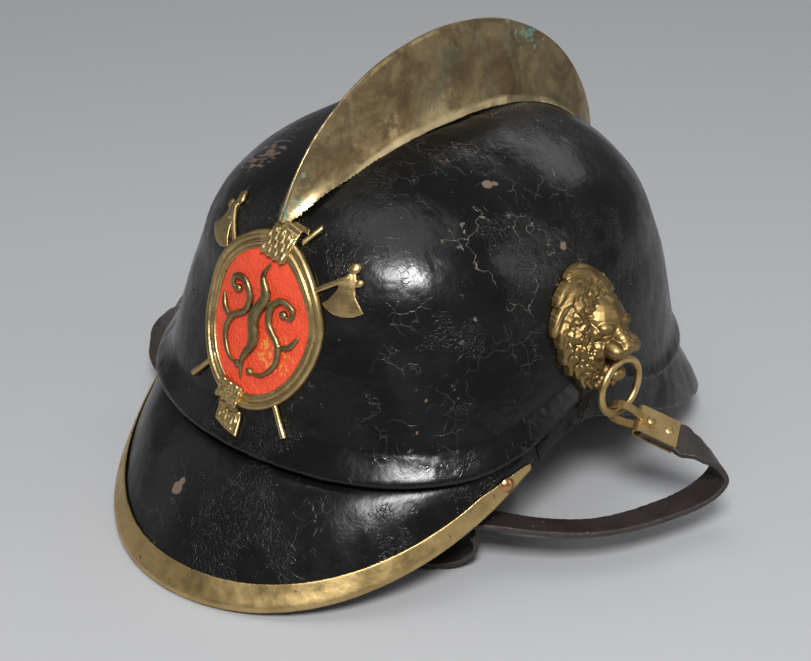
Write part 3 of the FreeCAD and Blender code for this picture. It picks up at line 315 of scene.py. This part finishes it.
def comb_metal():
    g = Graph("comb_brass")
    mottle = g.span(g.noise(30.0, 8.0, 0.68, warp=0.6), 0.4, 0.62)
    blotch = g.span(g.noise(75.0, 8.0, 0.7), 0.5, 0.6)
    height = g.math("DIVIDE", g.add("ShaderNodeSeparateXYZ", 2, None, Vector=g.place), MM)
    base = g.mix(mottle, (0.46, 0.35, 0.18), (0.24, 0.165, 0.08))
    base = g.mix(g.both(blotch, 0.75), base, (0.11, 0.075, 0.038))
    pale = g.both(g.span(g.noise(48.0, 7.0, 0.7), 0.52, 0.64), g.span(height, 160.0, 196.0))
    base = g.mix(g.both(pale, 0.6), base, (0.27, 0.27, 0.17))
    ridge_rear = g.both(g.spot((0.0, 72.0, 197.0), 17.0, 1.4), g.span(g.noise(170.0, 6.0, 0.7), 0.53, 0.6))
    tip = g.both(g.spot((0.0, -80.0, 158.0), 15.0, 1.4), g.span(g.noise(190.0, 6.0, 0.7), 0.55, 0.62))
    verdigris = g.either(ridge_rear, tip)
    base = g.mix(g.both(verdigris, 0.85), base, (0.06, 0.25, 0.23))
    # Painted highlight: a bright band along the comb's foot
    base = g.mix(g.attribute("foot_highlight"), base, (0.62, 0.49, 0.27))
    stain = g.either(g.both(blotch, 0.2), g.both(verdigris, 0.4))
    rough = g.math("ADD", g.span(g.noise(90.0, 6.0), 0.3, 0.7, 0.3, 0.46), stain)
    bumps = g.math("ADD", g.noise(380.0, 6.0), g.both(g.noise(40.0, 3.0), 3.0))
    dulled = g.math("ADD", g.both(blotch, 0.25), g.both(verdigris, 0.7), clamp=True)
    metal = g.math("SUBTRACT", 1.0, dulled)
    return g.finish(base, rough, metal, bumps, 0.00009)


def red_enamel():
    g = Graph("red_enamel")
    grit = g.cells(850.0, feature="F1")
    gold = g.both(g.spot((13.0, -96.0, 96.0), 12.0, 1.4), g.span(g.noise(520.0, 4.0), 0.5, 0.6))
    base = g.mix(g.noise(140.0, 5.0), (0.70, 0.05, 0.018), (0.84, 0.10, 0.035))
    base = g.mix(g.span(g.noise(260.0, 5.0), 0.66, 0.75), base, (0.55, 0.06, 0.03))
    base = g.mix(g.both(gold, 0.7), base, (0.80, 0.36, 0.06))
    # Painted shade: the enamel is darker red in its hollows
    base = g.mix(g.hollows(0.46, 0.36), base, (0.25, 0.03, 0.02))
    return g.finish(base, 0.42, 0.0, g.math("SUBTRACT", 1.0, grit), 0.0004)


LEATHER = black_leather()
STRAP = plain_leather("strap_leather", (0.016, 0.012, 0.010), (0.045, 0.034, 0.028),
                      (0.17, 0.115, 0.095), 0.42)
LINER = plain_leather("brown_leather", (0.09, 0.045, 0.022), (0.17, 0.095, 0.05), (0.22, 0.14, 0.08), 0.6)
BRASS = aged_metal("brass", (0.60, 0.43, 0.19), (0.46, 0.32, 0.13), (0.10, 0.065, 0.03), (0.32, 0.5))
RELIEF = aged_metal("relief_brass", (0.60, 0.44, 0.20), (0.42, 0.29, 0.12), (0.06, 0.04, 0.02),
                    (0.26, 0.44), 0.00006, 90.0)
LION = aged_metal("lion_brass", (0.31, 0.215, 0.088), (0.21, 0.14, 0.056), (0.03, 0.02, 0.010),
                  (0.33, 0.5), 0.00004, 70.0)
ORNAMENT = aged_metal("ornament_brass", (0.34, 0.26, 0.12), (0.20, 0.15, 0.07), (0.05, 0.035, 0.02),
                      (0.3, 0.5), 0.0001, 160.0)
COMB = comb_metal()
COPPER = aged_metal("copper", (0.62, 0.33, 0.16), (0.45, 0.22, 0.10), (0.12, 0.05, 0.03))
STEEL = aged_metal("steel", (0.35, 0.34, 0.32), (0.22, 0.21, 0.2), (0.08, 0.06, 0.05), (0.35, 0.55))
RED = red_enamel()

for node, material in (
        ("sweatband", LINER), ("liner_tongues", LINER), ("peak_trim_rivets", COPPER), ("comb_studs", BRASS),
        ("comb_washers", STEEL), ("comb_nuts", STEEL), ("badge_studs", BRASS), ("badge_washers", STEEL),
        ("badge_nuts", STEEL), ("boss_studs", BRASS), ("boss_washers", STEEL), ("boss_nuts", STEEL),
        ("ring_left", BRASS), ("ring_right", BRASS), ("strap_loop_left", BRASS), ("strap_loop_right", BRASS),
        ("strap_clamp_left", BRASS), ("strap_clamp_right", BRASS), ("clamp_rivets_left", BRASS),
        ("clamp_rivets_right", BRASS), ("lap_rivets", BRASS), ("buckle_frame", BRASS),
        ("buckle_prong", BRASS), ("buckle_chape", STRAP)):
    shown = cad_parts[node]
    shown.data.materials.clear()
    shown.data.materials.append(material)

# ================================ leather body ================================
HEAD_MIDDLE = (0.0, 8.0, 85.0)
COMB_FOOT_X, COMB_FOOT_FADE = 9.2, 0.8         # mm from the middle, where the comb's flange is painted bright as a highlight


def worked(name, nodes, voxel, smoothing, grains, seed):
    """The named CAD nodes as one skin, with softened corners and an uneven surface."""
    return roughen(remesh(copy_nodes(name, nodes), voxel, smoothing), grains, seed)


for name, nodes, voxel, smoothing, grains, seed in (
        ("skull", ("skull_shell", "rim_welt"), 1.15, 3, ((38.0, 0.9), (9.0, 0.16), (2.6, 0.06)), 3.0),
        ("peak", ("front_peak",), 0.85, 4, ((30.0, 0.5), (8.0, 0.12)), 5.0),
        ("neck", ("neck_guard",), 0.95, 4, ((26.0, 0.7), (7.0, 0.2)), 8.0)):
    hide = worked(name, nodes, voxel, smoothing, grains, seed)
    mark_inside(hide, HEAD_MIDDLE)
    place(hide, "helmet", "black_leather", *nodes, material=LEATHER)

trim = worked("trim", ("peak_trim",), 0.42, 3, ((12.0, 0.10), (4.0, 0.05)), 2.0)
place(trim, "helmet", "brass", "peak_trim", material=BRASS)

COMB_NODES = ("comb_left", "comb_right", "comb_ridge")
comb = worked("comb", COMB_NODES, 0.5, 3, ((22.0, 0.35), (6.0, 0.1)), 4.0)
# Marks the comb's foot for its painted highlight band
mark(comb, "foot_highlight", np.clip((np.abs(coordinates(comb)[:, 0]) - COMB_FOOT_X) / COMB_FOOT_FADE, 0.0, 1.0))
place(comb, "helmet", "comb_brass", *COMB_NODES, material=COMB)

for side in ("left", "right"):
    node = f"chin_strap_{side}"
    strap = worked(f"strap_{side}_hide", (node,), 0.5, 3, ((14.0, 0.3), (3.0, 0.08)), 1.0)
    place(strap, f"strap_{side}", "strap_leather", node, material=STRAP)


# ================================ surfaces to lay relief on ================================
RAY_START = 300.0          # mm from the middle, outside the helmet
STUD_HOLE_DEPTH = 1.2      # mm; a deeper jump in height is a hole in the leather


class Drape:
    """Heights of the leather seen along one axis, smoothed, for laying flat relief on it."""

    def __init__(self, nodes, axis, low, high, step=1.0):
        target = copy_nodes("drape", nodes)
        tree = BVHTree.FromObject(target, bpy.context.evaluated_depsgraph_get())
        bpy.data.objects.remove(target)
        self.low, self.step, self.axis = np.array(low, float), step, axis
        counts = ((np.array(high) - self.low) / step).astype(int) + 1
        grid = np.zeros(counts)
        for i in range(counts[0]):
            for j in range(counts[1]):
                a, b = self.low + np.array((i, j)) * step
                start = Vector((a, -RAY_START, b)) if axis == 1 else Vector((RAY_START, a, b))
                along = Vector((0, 1, 0)) if axis == 1 else Vector((-1, 0, 0))
                hit = tree.ray_cast(start * MM, along)[0]
                grid[i, j] = hit[axis] / MM if hit else np.nan
        for row in grid.T:
            good = ~np.isnan(row)
            known = np.flatnonzero(good)
            row[~good] = np.interp(np.flatnonzero(~good), known, row[good]) if good.any() else 0.0
        padded = np.pad(grid, 3, mode="edge")
        shifted = [padded[i:i + counts[0], j:j + counts[1]] for i in range(7) for j in range(7)]
        usual = np.median(np.stack(shifted), axis=0)
        grid = np.where(np.abs(grid - usual) > STUD_HOLE_DEPTH, usual, grid)
        for _ in range(3):
            padded = np.pad(grid, 1, mode="edge")
            beside = padded[:-2, 1:-1] + padded[2:, 1:-1] + padded[1:-1, :-2] + padded[1:-1, 2:]
            grid = (beside + grid * 2.0) / 6.0
        self.grid = grid

    def height(self, a, b):
        u = np.clip((a - self.low[0]) / self.step, 0, self.grid.shape[0] - 1.001)
        v = np.clip((b - self.low[1]) / self.step, 0, self.grid.shape[1] - 1.001)
        i, j = u.astype(int), v.astype(int)
        s, t = u - i, v - j
        g = self.grid
        return (g[i, j] * (1 - s) * (1 - t) + g[i + 1, j] * s * (1 - t)
                + g[i, j + 1] * (1 - s) * t + g[i + 1, j + 1] * s * t)

    def lay(self, a, b, lift):
        """Points at (a, b) raised by lift along the leather's own normal."""
        here = self.height(a, b)
        slope_a = (self.height(a + 1.5, b) - self.height(a - 1.5, b)) / 3.0
        slope_b = (self.height(a, b + 1.5) - self.height(a, b - 1.5)) / 3.0
        length = np.sqrt(1.0 + slope_a ** 2 + slope_b ** 2)
        sign = -1.0 if self.axis == 1 else 1.0
        out = here + sign * lift / length
        a, b = a - sign * slope_a * lift / length, b - sign * slope_b * lift / length
        return np.stack((a, out, b), axis=1) if self.axis == 1 else np.stack((out, a, b), axis=1)


SKULL_NODES = ("skull_shell", "rim_welt")
front = Drape(SKULL_NODES, 1, (-60.0, 52.0), (64.0, 160.0))
side_left = Drape(SKULL_NODES, 0, (-26.0, 66.0), (34.0, 138.0))


# ================================ clay: shapes to fuse ================================
class Clay:
    """Collects simple closed shapes, in mm, that remesh() then fuses into one skin."""

    def __init__(self):
        self.points, self.faces = [], []

    def tube(self, line, radii, flat=1.0, sides=10):
        """A round-ended bar along a line; flat squeezes it in the third direction."""
        line = [Vector(p) for p in line]
        if isinstance(radii, (int, float)):
            radii = [radii] * len(line)
        rings = []
        for k, p in enumerate(line):
            ahead = (line[min(k + 1, len(line) - 1)] - line[max(k - 1, 0)]).normalized()
            across = ahead.cross(Vector((0, 0, 1)))
            if across.length < 0.1:
                across = ahead.cross(Vector((0, 1, 0)))
            across.normalize()
            up = across.cross(ahead)
            rings.append([p + (across * math.cos(t) + up * (math.sin(t) * flat)) * radii[k]
                          for t in (2.0 * math.pi * s / sides for s in range(sides))])
        start = len(self.points)
        for ring in rings:
            self.points.extend(ring)
        for k in range(len(rings) - 1):
            for s in range(sides):
                a, b = start + k * sides + s, start + k * sides + (s + 1) % sides
                self.faces.append((a, b, b + sides, a + sides))
        self.faces.append(tuple(start + s for s in range(sides))[::-1])
        self.faces.append(tuple(start + (len(rings) - 1) * sides + s for s in range(sides)))
        return self

    def ball(self, centre, size):
        mesh = bmesh.new()
        bmesh.ops.create_uvsphere(mesh, u_segments=20, v_segments=12, radius=1.0)
        start = len(self.points)
        mesh.verts.ensure_lookup_table()
        for v in mesh.verts:
            sized = Vector((v.co.x * size[0], v.co.y * size[1], v.co.z * size[2]))
            self.points.append(Vector(centre) + sized)
        for f in mesh.faces:
            self.faces.append(tuple(start + v.index for v in f.verts))
        mesh.free()
        return self

    def plate(self, outline, low, high):
        """A flat plate with this outline, between two heights."""
        start, count = len(self.points), len(outline)
        self.points.extend(Vector((x, y, low)) for x, y in outline)
        self.points.extend(Vector((x, y, high)) for x, y in outline)
        self.faces.append(tuple(range(start, start + count))[::-1])
        self.faces.append(tuple(range(start + count, start + 2 * count)))
        for k in range(count):
            n = (k + 1) % count
            self.faces.append((start + k, start + n, start + count + n, start + count + k))
        return self

    def build(self, name, voxel, smoothing=3):
        return remesh(mesh_from(name, self.points, self.faces), voxel, smoothing)


def curve(points, count=24):
    """A smooth line through given points."""
    pts = [Vector((*p, 0.0)) if len(p) == 2 else Vector(p) for p in points]
    pts = [pts[0] * 2 - pts[1]] + pts + [pts[-1] * 2 - pts[-2]]
    result = []
    spans = len(pts) - 3
    for k in range(count):
        t = spans * k / (count - 1.0)
        i = min(int(t), spans - 1)
        u = t - i
        a, b, c, d = pts[i:i + 4]
        second, third = 2 * a - 5 * b + 4 * c - d, 3 * b - a - 3 * c + d
        result.append(0.5 * ((2 * b) + (c - a) * u + second * u * u + third * u ** 3))
    return result


# ================================ badge ================================
BADGE_Z, BADGE_TILT = 107.0, math.radians(6.0)
BADGE_WIDE, BADGE_TALL = 34.0, 38.5
BADGE_GAP = 0.15           # mm between the leather and the badge's back
BADGE_SQUEEZE = 0.97       # the badge's height as seen along the leather's slope


def on_badge(obj):
    """Flat relief (across, up, lift) laid on the leather."""
    p = coordinates(obj)
    x = p[:, 0] * math.cos(BADGE_TILT) + p[:, 1] * math.sin(BADGE_TILT)
    z = BADGE_Z + (p[:, 1] * math.cos(BADGE_TILT) - p[:, 0] * math.sin(BADGE_TILT)) * BADGE_SQUEEZE
    set_coordinates(obj, front.lay(x, z, p[:, 2] + BADGE_GAP))
    return obj


OVAL_SIDES = 96


def oval(wide, tall, lift):
    """A closed oval line; the last point repeats the first."""
    turns = [2 * math.pi * k / OVAL_SIDES for k in range(OVAL_SIDES + 1)]
    return [(wide * math.sin(t), tall * math.cos(t), lift) for t in turns]


def ring_plate(clay, wide, tall, width, low, high):
    """A flat oval band as a strip of short plates that overlap a little."""
    for k in range(OVAL_SIDES):
        a, b = 2 * math.pi * k / OVAL_SIDES, 2 * math.pi * (k + 1.04) / OVAL_SIDES
        corners = [((wide - inner) * math.sin(t), (tall - inner) * math.cos(t))
                   for t, inner in ((a, 0), (b, 0), (b, width), (a, width))]
        clay.plate(corners, low, high)


frame_clay = Clay()
ring_plate(frame_clay, BADGE_WIDE, BADGE_TALL, 7.0, 0.0, 1.2)
frame_clay.tube(oval(32.3, 36.8, 1.2), 1.6, 0.95)
frame_clay.tube(oval(29.4, 33.9, 1.3), 1.05)
frame_clay.tube(oval(27.7, 32.2, 1.2), 0.55)
bezel = on_badge(frame_clay.build("badge_bezel", 0.3, 2))
place(bezel, "helmet", "brass", "badge_frame", material=RELIEF)

field_clay = Clay()
field_clay.plate([(p[0], p[1]) for p in oval(27.4, 31.9, 0)[:-1]], 0.0, 0.9)
field = field_clay.build("badge_enamel", 0.35, 1)
field = roughen(field, ((1.1, 0.12), (5.0, 0.2)), 9.0)
place(on_badge(field), "helmet", "red_enamel", "badge_field", material=RED)

SCROLL = ((3.2, -20), (8.5, -19), (13, -12), (11.8, -4), (6, 2),
          (5.2, 9), (9, 14.5), (14.2, 13), (14, 8.5), (11, 9))
LEAF = ((11.5, -5), (16.5, -2.5), (19, 3))
FLAME = ((0, -25), (-1.6, -17), (1.2, -8), (-1.2, 2), (2.2, 13), (-1.0, 20), (0.6, 26))


def raised(line, lift):
    return [p + Vector((0, 0, lift)) for p in line]


scrolls = Clay()
for s in (1, -1):
    line = curve([(x * s, y) for x, y in SCROLL], 50)
    scrolls.tube(raised(line, 1.5), [0.55 + 0.95 * math.sin(math.pi * k / 49) for k in range(50)], 0.8)
    scrolls.ball((11.2 * s, 9.4, 1.7), (1.7, 1.7, 1.3))
    scrolls.ball((3.2 * s, -20, 1.6), (1.5, 1.5, 1.2))
    leaf = curve([(x * s, y) for x, y in LEAF], 14)
    scrolls.tube(raised(leaf, 1.4), [1.3 * math.sin(math.pi * (k + 1) / 15) ** 0.7 for k in range(14)], 0.8)
flame_radii = [0.5 + 2.0 * math.sin(math.pi * k / 39) ** 1.5 for k in range(40)]
scrolls.tube(raised(curve(FLAME, 40), 1.6), flame_radii, 0.75)
for p in scrolls.points:
    p.x, p.y, p.z = p.x * 1.22, p.y * 1.06, p.z * 1.25
ornament = on_badge(scrolls.build("badge_scrolls", 0.28, 2))
place(ornament, "helmet", "brass", "badge_ornament", material=ORNAMENT)


def woven(clay, low, high, half, lift, rows, cords=7):
    """Cords laid side by side and crossed by others, over and under."""
    for k in range(cords):
        x = -half + 2.0 * half * k / (cords - 1.0)
        line = []
        for s in range(25):
            y = low + (high - low) * s / 24.0
            line.append((x, y, lift + 0.45 * math.sin(math.pi * rows * s / 24.0 + math.pi * k)))
        clay.tube(line, half / (cords - 1.0) * 1.05, 0.9, 8)
    for r in range(rows):
        y = low + (high - low) * (r + 0.5) / rows
        line = [(-half + 2 * half * s / 30.0, y,
                 lift + 0.4 * math.sin(math.pi * (cords - 1) * s / 30.0 + math.pi * r)) for s in range(31)]
        clay.tube(line, 0.75, 0.9, 8)


knots = Clay()
woven(knots, 29.5, 38.6, 5.8, 3.3, 4)
knots.plate([(-6.4, 29.6), (7.0, 29.6), (7.4, 39.0), (-6.4, 39.0)], 1.2, 2.8)
for y in (39.3, 41.0):
    knots.tube([(-6.8, y, 2.3), (0.0, y + 0.3, 2.9), (7.2, y, 2.3)], 0.85)
for p in knots.points:
    p.x += 0.3
lower = Clay()
woven(lower, -38.8, -29.6, 5.9, 3.3, 4)
lower.plate([(-6.4, -29.6), (6.4, -29.6), (6.8, -39.0), (-6.8, -39.0)], 1.2, 2.8)
for p in lower.points:
    p.x -= 3.1
knots_top = on_badge(knots.build("badge_keeper_top", 0.28, 2))
place(knots_top, "helmet", "brass", "badge_knots", material=RELIEF)
knots_low = on_badge(lower.build("badge_keeper_low", 0.28, 2))
place(knots_low, "helmet", "brass", material=RELIEF)

tail = Clay()
woven(tail, -47.6, -42.4, 5.0, 1.5, 3, 6)
tail.plate([(-7.2, -40.0), (6.0, -40.0), (6.9, -48.8), (-6.6, -47.6)], 0.0, 1.3)
tail.tube([(-7.0, -40.2, 1.2), (-6.6, -47.6, 1.2)], 0.8)
tail.tube([(6.0, -40.2, 1.2), (7.2, -49.4, 1.2)], 0.9)
tail.tube([(-7.0, -40.8, 1.5), (-2.0, -43.4, 1.8), (2.0, -43.2, 1.8), (6.2, -40.8, 1.5)], 0.9)
tail.tube([(-6.6, -47.8, 1.4), (0.0, -48.6, 1.5), (6.8, -48.8, 1.4)], 0.7)
for p in tail.points:
    p.x -= 1.6 - 0.25 * (-40.0 - p.y)
place(on_badge(tail.build("badge_tail_relief", 0.28, 2)), "helmet", "brass", "badge_tail", material=RELIEF)

top_plate = Clay()
top_plate.plate([(-8.2, 41.6), (9.8, 41.6), (9.0, 43.2), (-7.4, 43.2)], 0.0, 1.3)
top_plate.tube([(9.6, 38.6, 1.0), (11.6, 42.0, 1.0), (13.4, 45.4, 1.0)], 1.1)
top_plate.tube([(-6.2, 43.0, 0.9), (-4.6, 46.4, 0.9), (0.0, 47.6, 0.9)], 0.9)
top_bars = on_badge(top_plate.build("badge_top_bars", 0.3, 2))
place(top_bars, "helmet", "brass", "badge_top_plate", material=RELIEF)

AXE_EYE = ((30.8, 33.6), (33.0, 37.0), (35.2, 36.2), (37.0, 33.4), (36.0, 31.2), (34.6, 30.0), (32.0, 31.2))
AXE_BLADE = ((30.6, 32.6), (30.2, 29.0), (28.6, 25.0), (26.4, 22.2), (28.6, 20.4), (32.0, 19.2),
             (36.0, 19.0), (40.0, 20.2), (43.4, 22.6), (41.4, 25.0), (38.6, 28.0), (36.8, 31.6))

axes = Clay()
for s in (1, -1):
    axes.tube([(s * 22.0, 26.0, 1.1), (s * 33.6, 35.0, 1.3)], 1.25)
    axes.plate([(s * x, y) for x, y in AXE_EYE], 0.0, 1.8)
    axes.ball((s * 33.4, 38.0, 1.0), (2.4, 2.2, 1.5))
    axes.ball((s * 37.9, 33.6, 1.0), (1.6, 1.6, 1.2))
    axes.plate([(s * (x + 0.4), y) for x, y in AXE_BLADE], 0.0, 1.15)
    axes.tube([(s * (x + 0.4), y, 1.0) for x, y in ((31.0, 33.4), (33.6, 31.4), (36.6, 31.6))], 0.7)
    axes.tube([(s * 19.0, -28.0, 1.1), (s * 23.0, -33.2, 1.1), (s * 28.4, -39.8, 1.1)], [1.3, 1.3, 1.65])
for p in axes.points:
    p.x += math.copysign(2.2, p.x)
    p.y -= 1.0
place(on_badge(axes.build("badge_axe_relief", 0.3, 2)), "helmet", "brass", "badge_axes", material=RELIEF)

# ================================ lion masks ================================
MASK_Y, MASK_Z = 3.0, 102.5                    # middle of the hair's outline
FACE_Y, FACE_Z = 7.6, 98.5                     # where the locks start from
MOUTH_X, MOUTH_Y, MOUTH_Z = 112.5, 8.0, 89.5   # middle of the bar that the ring hangs on
MANE_LAYERS = ((21, 1.0, 0.3, 1.9), (17, 0.83, 1.1, 1.8), (13, 0.66, 2.3, 1.7))    # locks, reach, seed, lift


def mane_height(y, z):
    """Height of the hair over the leather, in overlapping layers of wavy locks, and whether there is any."""
    dy, dz = y - FACE_Y, z - FACE_Z
    far = np.hypot(dy, dz / 1.12)
    turn = np.arctan2(dy, dz)
    edge = np.hypot((y - MASK_Y) / 21.5, (z - MASK_Z) / 26.5)
    height = 1.2 + 4.2 * np.sqrt(np.clip(1.0 - edge ** 2, 0.0, 1.0))
    clear = np.clip((far - 8.0) / 3.5, 0.0, 1.0)
    there = None
    for count, end, seed, lift in MANE_LAYERS:
        droop = turn - 0.5 * np.sin(turn) * (far - 9.0) / 14.0
        sway = 0.1 * np.sin(far * 0.75 + seed * 3.0 + 1.5 * np.sin(turn * 2.0))
        lock = (droop + sway) * count / (2.0 * math.pi) + seed
        number, across = np.floor(lock), lock - np.floor(lock)
        tip = end + 0.035 * np.sin(number * 2.4) - 0.07 * (2.0 * across - 1.0) ** 2
        inside = np.clip((tip - edge) / 0.06 + 0.5, 0.0, 1.0)
        ridge = np.sqrt(np.clip(1.0 - (2.0 * across - 1.0) ** 2, 0.0, 1.0))
        strands = 0.24 * np.sin(across * 6.0 * math.pi)
        height += inside * clear * (lift * (0.3 + 0.7 * ridge) + strands)
        if there is None:
            there, height = inside > 0.5, height - 1.2 * (1.0 - inside)
    face = np.hypot((y - MOUTH_Y) / 11.0, (z - 97.5) / 15.5)
    return height * np.clip((face - 0.7) / 0.35, 0.0, 1.0), there


def add_mane(clay, step=0.42):
    rows = np.arange(-20.5, 27.0, step)
    columns = np.arange(74.0, 131.5, step)
    y, z = np.meshgrid(rows, columns, indexing="ij")
    height, there = mane_height(y, z)
    under = side_left.height(y, z)
    start, count = len(clay.points), y.size
    clay.points.extend(Vector(p) for p in np.stack((under + height, y, z), axis=-1).reshape(-1, 3))
    clay.points.extend(Vector(p) for p in np.stack((under - 1.0, y, z), axis=-1).reshape(-1, 3))
    wide = y.shape[1]
    cell = there[:-1, :-1] & there[1:, :-1] & there[:-1, 1:] & there[1:, 1:]
    for i, j in zip(*np.nonzero(cell)):
        a, b = start + i * wide + j, start + (i + 1) * wide + j
        clay.faces.append((a, b, b + 1, a + 1))
        clay.faces.append((a + count, a + 1 + count, b + 1 + count, b + count))
        for near, first, second in (((i - 1, j), a, a + 1), ((i + 1, j), b + 1, b),
                                    ((i, j - 1), b, a), ((i, j + 1), a + 1, b + 1)):
            if not (0 <= near[0] < cell.shape[0] and 0 <= near[1] < cell.shape[1] and cell[near]):
                clay.faces.append((first, second, second + count, first + count))


def lion_mask(name):
    """A lion's head facing out along +X, with the ring's mouth left free."""
    c = Clay()
    add_mane(c)
    y = MOUTH_Y
    c.ball((99.6, y, 102.5), (11.2, 12.4, 14.0))                # head
    for s in (1, -1):
        c.ball((106.2, y + 5.2 * s, 105.6), (4.6, 4.6, 3.4))    # brow
        c.ball((103.6, y + 9.0 * s, 103.4), (4.6, 3.8, 3.6))
        c.ball((107.6, y + 5.7 * s, 101.0), (2.3, 2.3, 1.8))    # eye and its two lids
        for radius, between in ((0.75, ((109.2, 4.2, 102.1), (109.0, 6.8, 102.2))),
                                (0.65, ((109.0, 4.6, 99.3), (108.2, 7.0, 99.3)))):
            lid = ((106.0, 2.4, 100.0), *between, (105.4, 9.2, 100.6))
            c.tube(curve([(px, y + py * s, pz) for px, py, pz in lid], 12), radius)
        c.ball((104.6, y + 7.6 * s, 95.6), (5.8, 5.0, 5.6))     # cheek, muzzle, jaw, nostril
        c.ball((110.6, y + 4.4 * s, 96.4), (7.4, 5.2, 4.3))
        c.ball((103.4, y + 7.0 * s, 88.6), (5.0, 3.8, 6.0))
        c.ball((116.4, y + 2.6 * s, 98.2), (2.2, 1.9, 1.7))
        beard = [(104.0, y + 3.0 * s, 83.0), (107.4, y + 3.8 * s, 80.0), (107.2, y + 5.2 * s, 76.4)]
        c.tube(curve(beard, 10), [2.4 - 0.17 * k for k in range(10)])
    c.ball((104.6, y, 106.0), (5.4, 3.6, 6.2))                  # forehead, bridge and tip of the nose
    c.ball((108.4, y, 101.4), (4.6, 3.7, 5.2))
    c.ball((111.6, y, 100.0), (4.8, 4.0, 4.0))
    c.ball((115.4, y, 98.6), (3.6, 4.2, 2.8))
    c.ball((111.6, y, 96.4), (6.2, 3.6, 4.0))                   # upper lip, lower lip, chin
    c.ball((109.2, y, 82.6), (4.8, 5.0, 3.6))
    c.ball((103.6, y, 83.4), (6.2, 7.2, 4.2))
    beard = [(104.0, y, 83.0), (108.4, y, 79.4), (108.0, y, 75.8)]
    c.tube(curve(beard, 10), [2.6 - 0.18 * k for k in range(10)])
    mask = c.build(name, 0.33, 6)
    p = coordinates(mask)
    floor = side_left.height(p[:, 1], p[:, 2]) + 0.25
    p[:, 0] = np.maximum(p[:, 0], floor)
    away = np.hypot(p[:, 0] - MOUTH_X, p[:, 2] - MOUTH_Z)
    bore = np.where(np.abs(p[:, 1] - MOUTH_Y) < 5.0, 2.75, 3.9)
    inside = (away < bore) & (np.abs(p[:, 1] - MOUTH_Y) < 9.0)
    push = np.where(inside, bore / np.maximum(away, 0.2), 1.0)
    p[:, 0] = MOUTH_X + (p[:, 0] - MOUTH_X) * push
    p[:, 2] = MOUTH_Z + (p[:, 2] - MOUTH_Z) * push
    outside = (np.abs(p[:, 1] - MOUTH_Y) > 6.0) & (p[:, 2] < 91.0)
    p[:, 0] = np.where(outside, np.minimum(p[:, 0], 110.2), p[:, 0])
    set_coordinates(mask, p)
    return mask


left_mask = lion_mask("lion_left")
right_mask = add_object("lion_right", left_mask.data.copy())
mirrored_points = coordinates(right_mask)
mirrored_points[:, 0] *= -1.0
set_coordinates(right_mask, mirrored_points)
right_mask.data.flip_normals()
place(left_mask, "helmet", "brass", "lion_boss_left", material=LION)
place(right_mask, "helmet", "brass", "lion_boss_right", material=LION)

# ================================ floor, light, camera ================================
floor_graph = Graph("floor_paper")
floor_graph.finish((0.46, 0.465, 0.475), 0.85)
FLOOR_REACH, FLOOR_Z = 12.0, -0.0002
corners = [(x * FLOOR_REACH, y * FLOOR_REACH, FLOOR_Z) for x, y in ((-1, -1), (1, -1), (1, 1), (-1, 1))]
floor = mesh_from("floor", corners, [(0, 1, 2, 3)], 1.0)
floor.data.materials.append(floor_graph.material)


def direction(azimuth, elevation):
    a, e = math.radians(azimuth), math.radians(elevation)
    return Vector((math.sin(a) * math.cos(e), -math.cos(a) * math.cos(e), math.sin(e)))


def softbox(name, azimuth, elevation, distance, size, power):
    lamp = bpy.data.lights.new(name, "AREA")
    lamp.shape, lamp.size, lamp.size_y = "RECTANGLE", size[0], size[1]
    lamp.energy = power
    obj = bpy.data.objects.new(name, lamp)
    bpy.context.scene.collection.objects.link(obj)
    aim = Vector((0.0, 0.0, 0.09))
    obj.location = aim + direction(azimuth, elevation) * distance
    obj.rotation_euler = (aim - obj.location).to_track_quat("-Z", "Y").to_euler()


softbox("key", 43.0, 43.0, 1.5, (0.31, 0.31), 21.5)
softbox("top", 10.0, 80.0, 1.8, (1.4, 1.0), 8.0)
softbox("left", -60.0, 22.0, 2.0, (0.8, 1.4), 1.2)
softbox("rim", 120.0, 25.0, 2.2, (0.7, 1.4), 5.0)
softbox("back", 190.0, 35.0, 2.4, (1.6, 0.8), 5.0)
world = bpy.data.worlds.new("studio")
world.use_nodes = True
world.node_tree.nodes["Background"].inputs[0].default_value = (0.80, 0.83, 0.88, 1.0)
world.node_tree.nodes["Background"].inputs[1].default_value = 0.18
bpy.context.scene.world = world
bpy.context.scene.view_settings.view_transform = "Standard"

CAMERA_AZIMUTH, CAMERA_ELEVATION, CAMERA_ROLL = 43.654, 29.0, 0.293     # degrees
CAMERA_DISTANCE, CAMERA_LENS = 1.023157, 99.32                          # m, mm
target = Vector((0.000289, -0.008053, 0.067248))
lens = bpy.data.cameras.new("view")
lens.lens, lens.sensor_width, lens.clip_start, lens.clip_end = CAMERA_LENS, 36.0, 0.05, 60.0
camera = bpy.data.objects.new("view", lens)
bpy.context.scene.collection.objects.link(camera)
back = direction(CAMERA_AZIMUTH, CAMERA_ELEVATION)
a = math.radians(CAMERA_AZIMUTH)
right = Vector((math.cos(a), math.sin(a), 0.0))
up = back.cross(right)
roll = math.radians(CAMERA_ROLL)
right, up = right * math.cos(roll) + up * math.sin(roll), up * math.cos(roll) - right * math.sin(roll)
turn = Matrix((right, up, back)).transposed()
camera.matrix_world = Matrix.Translation(target + back * CAMERA_DISTANCE) @ turn.to_4x4()
bpy.context.scene.camera = camera
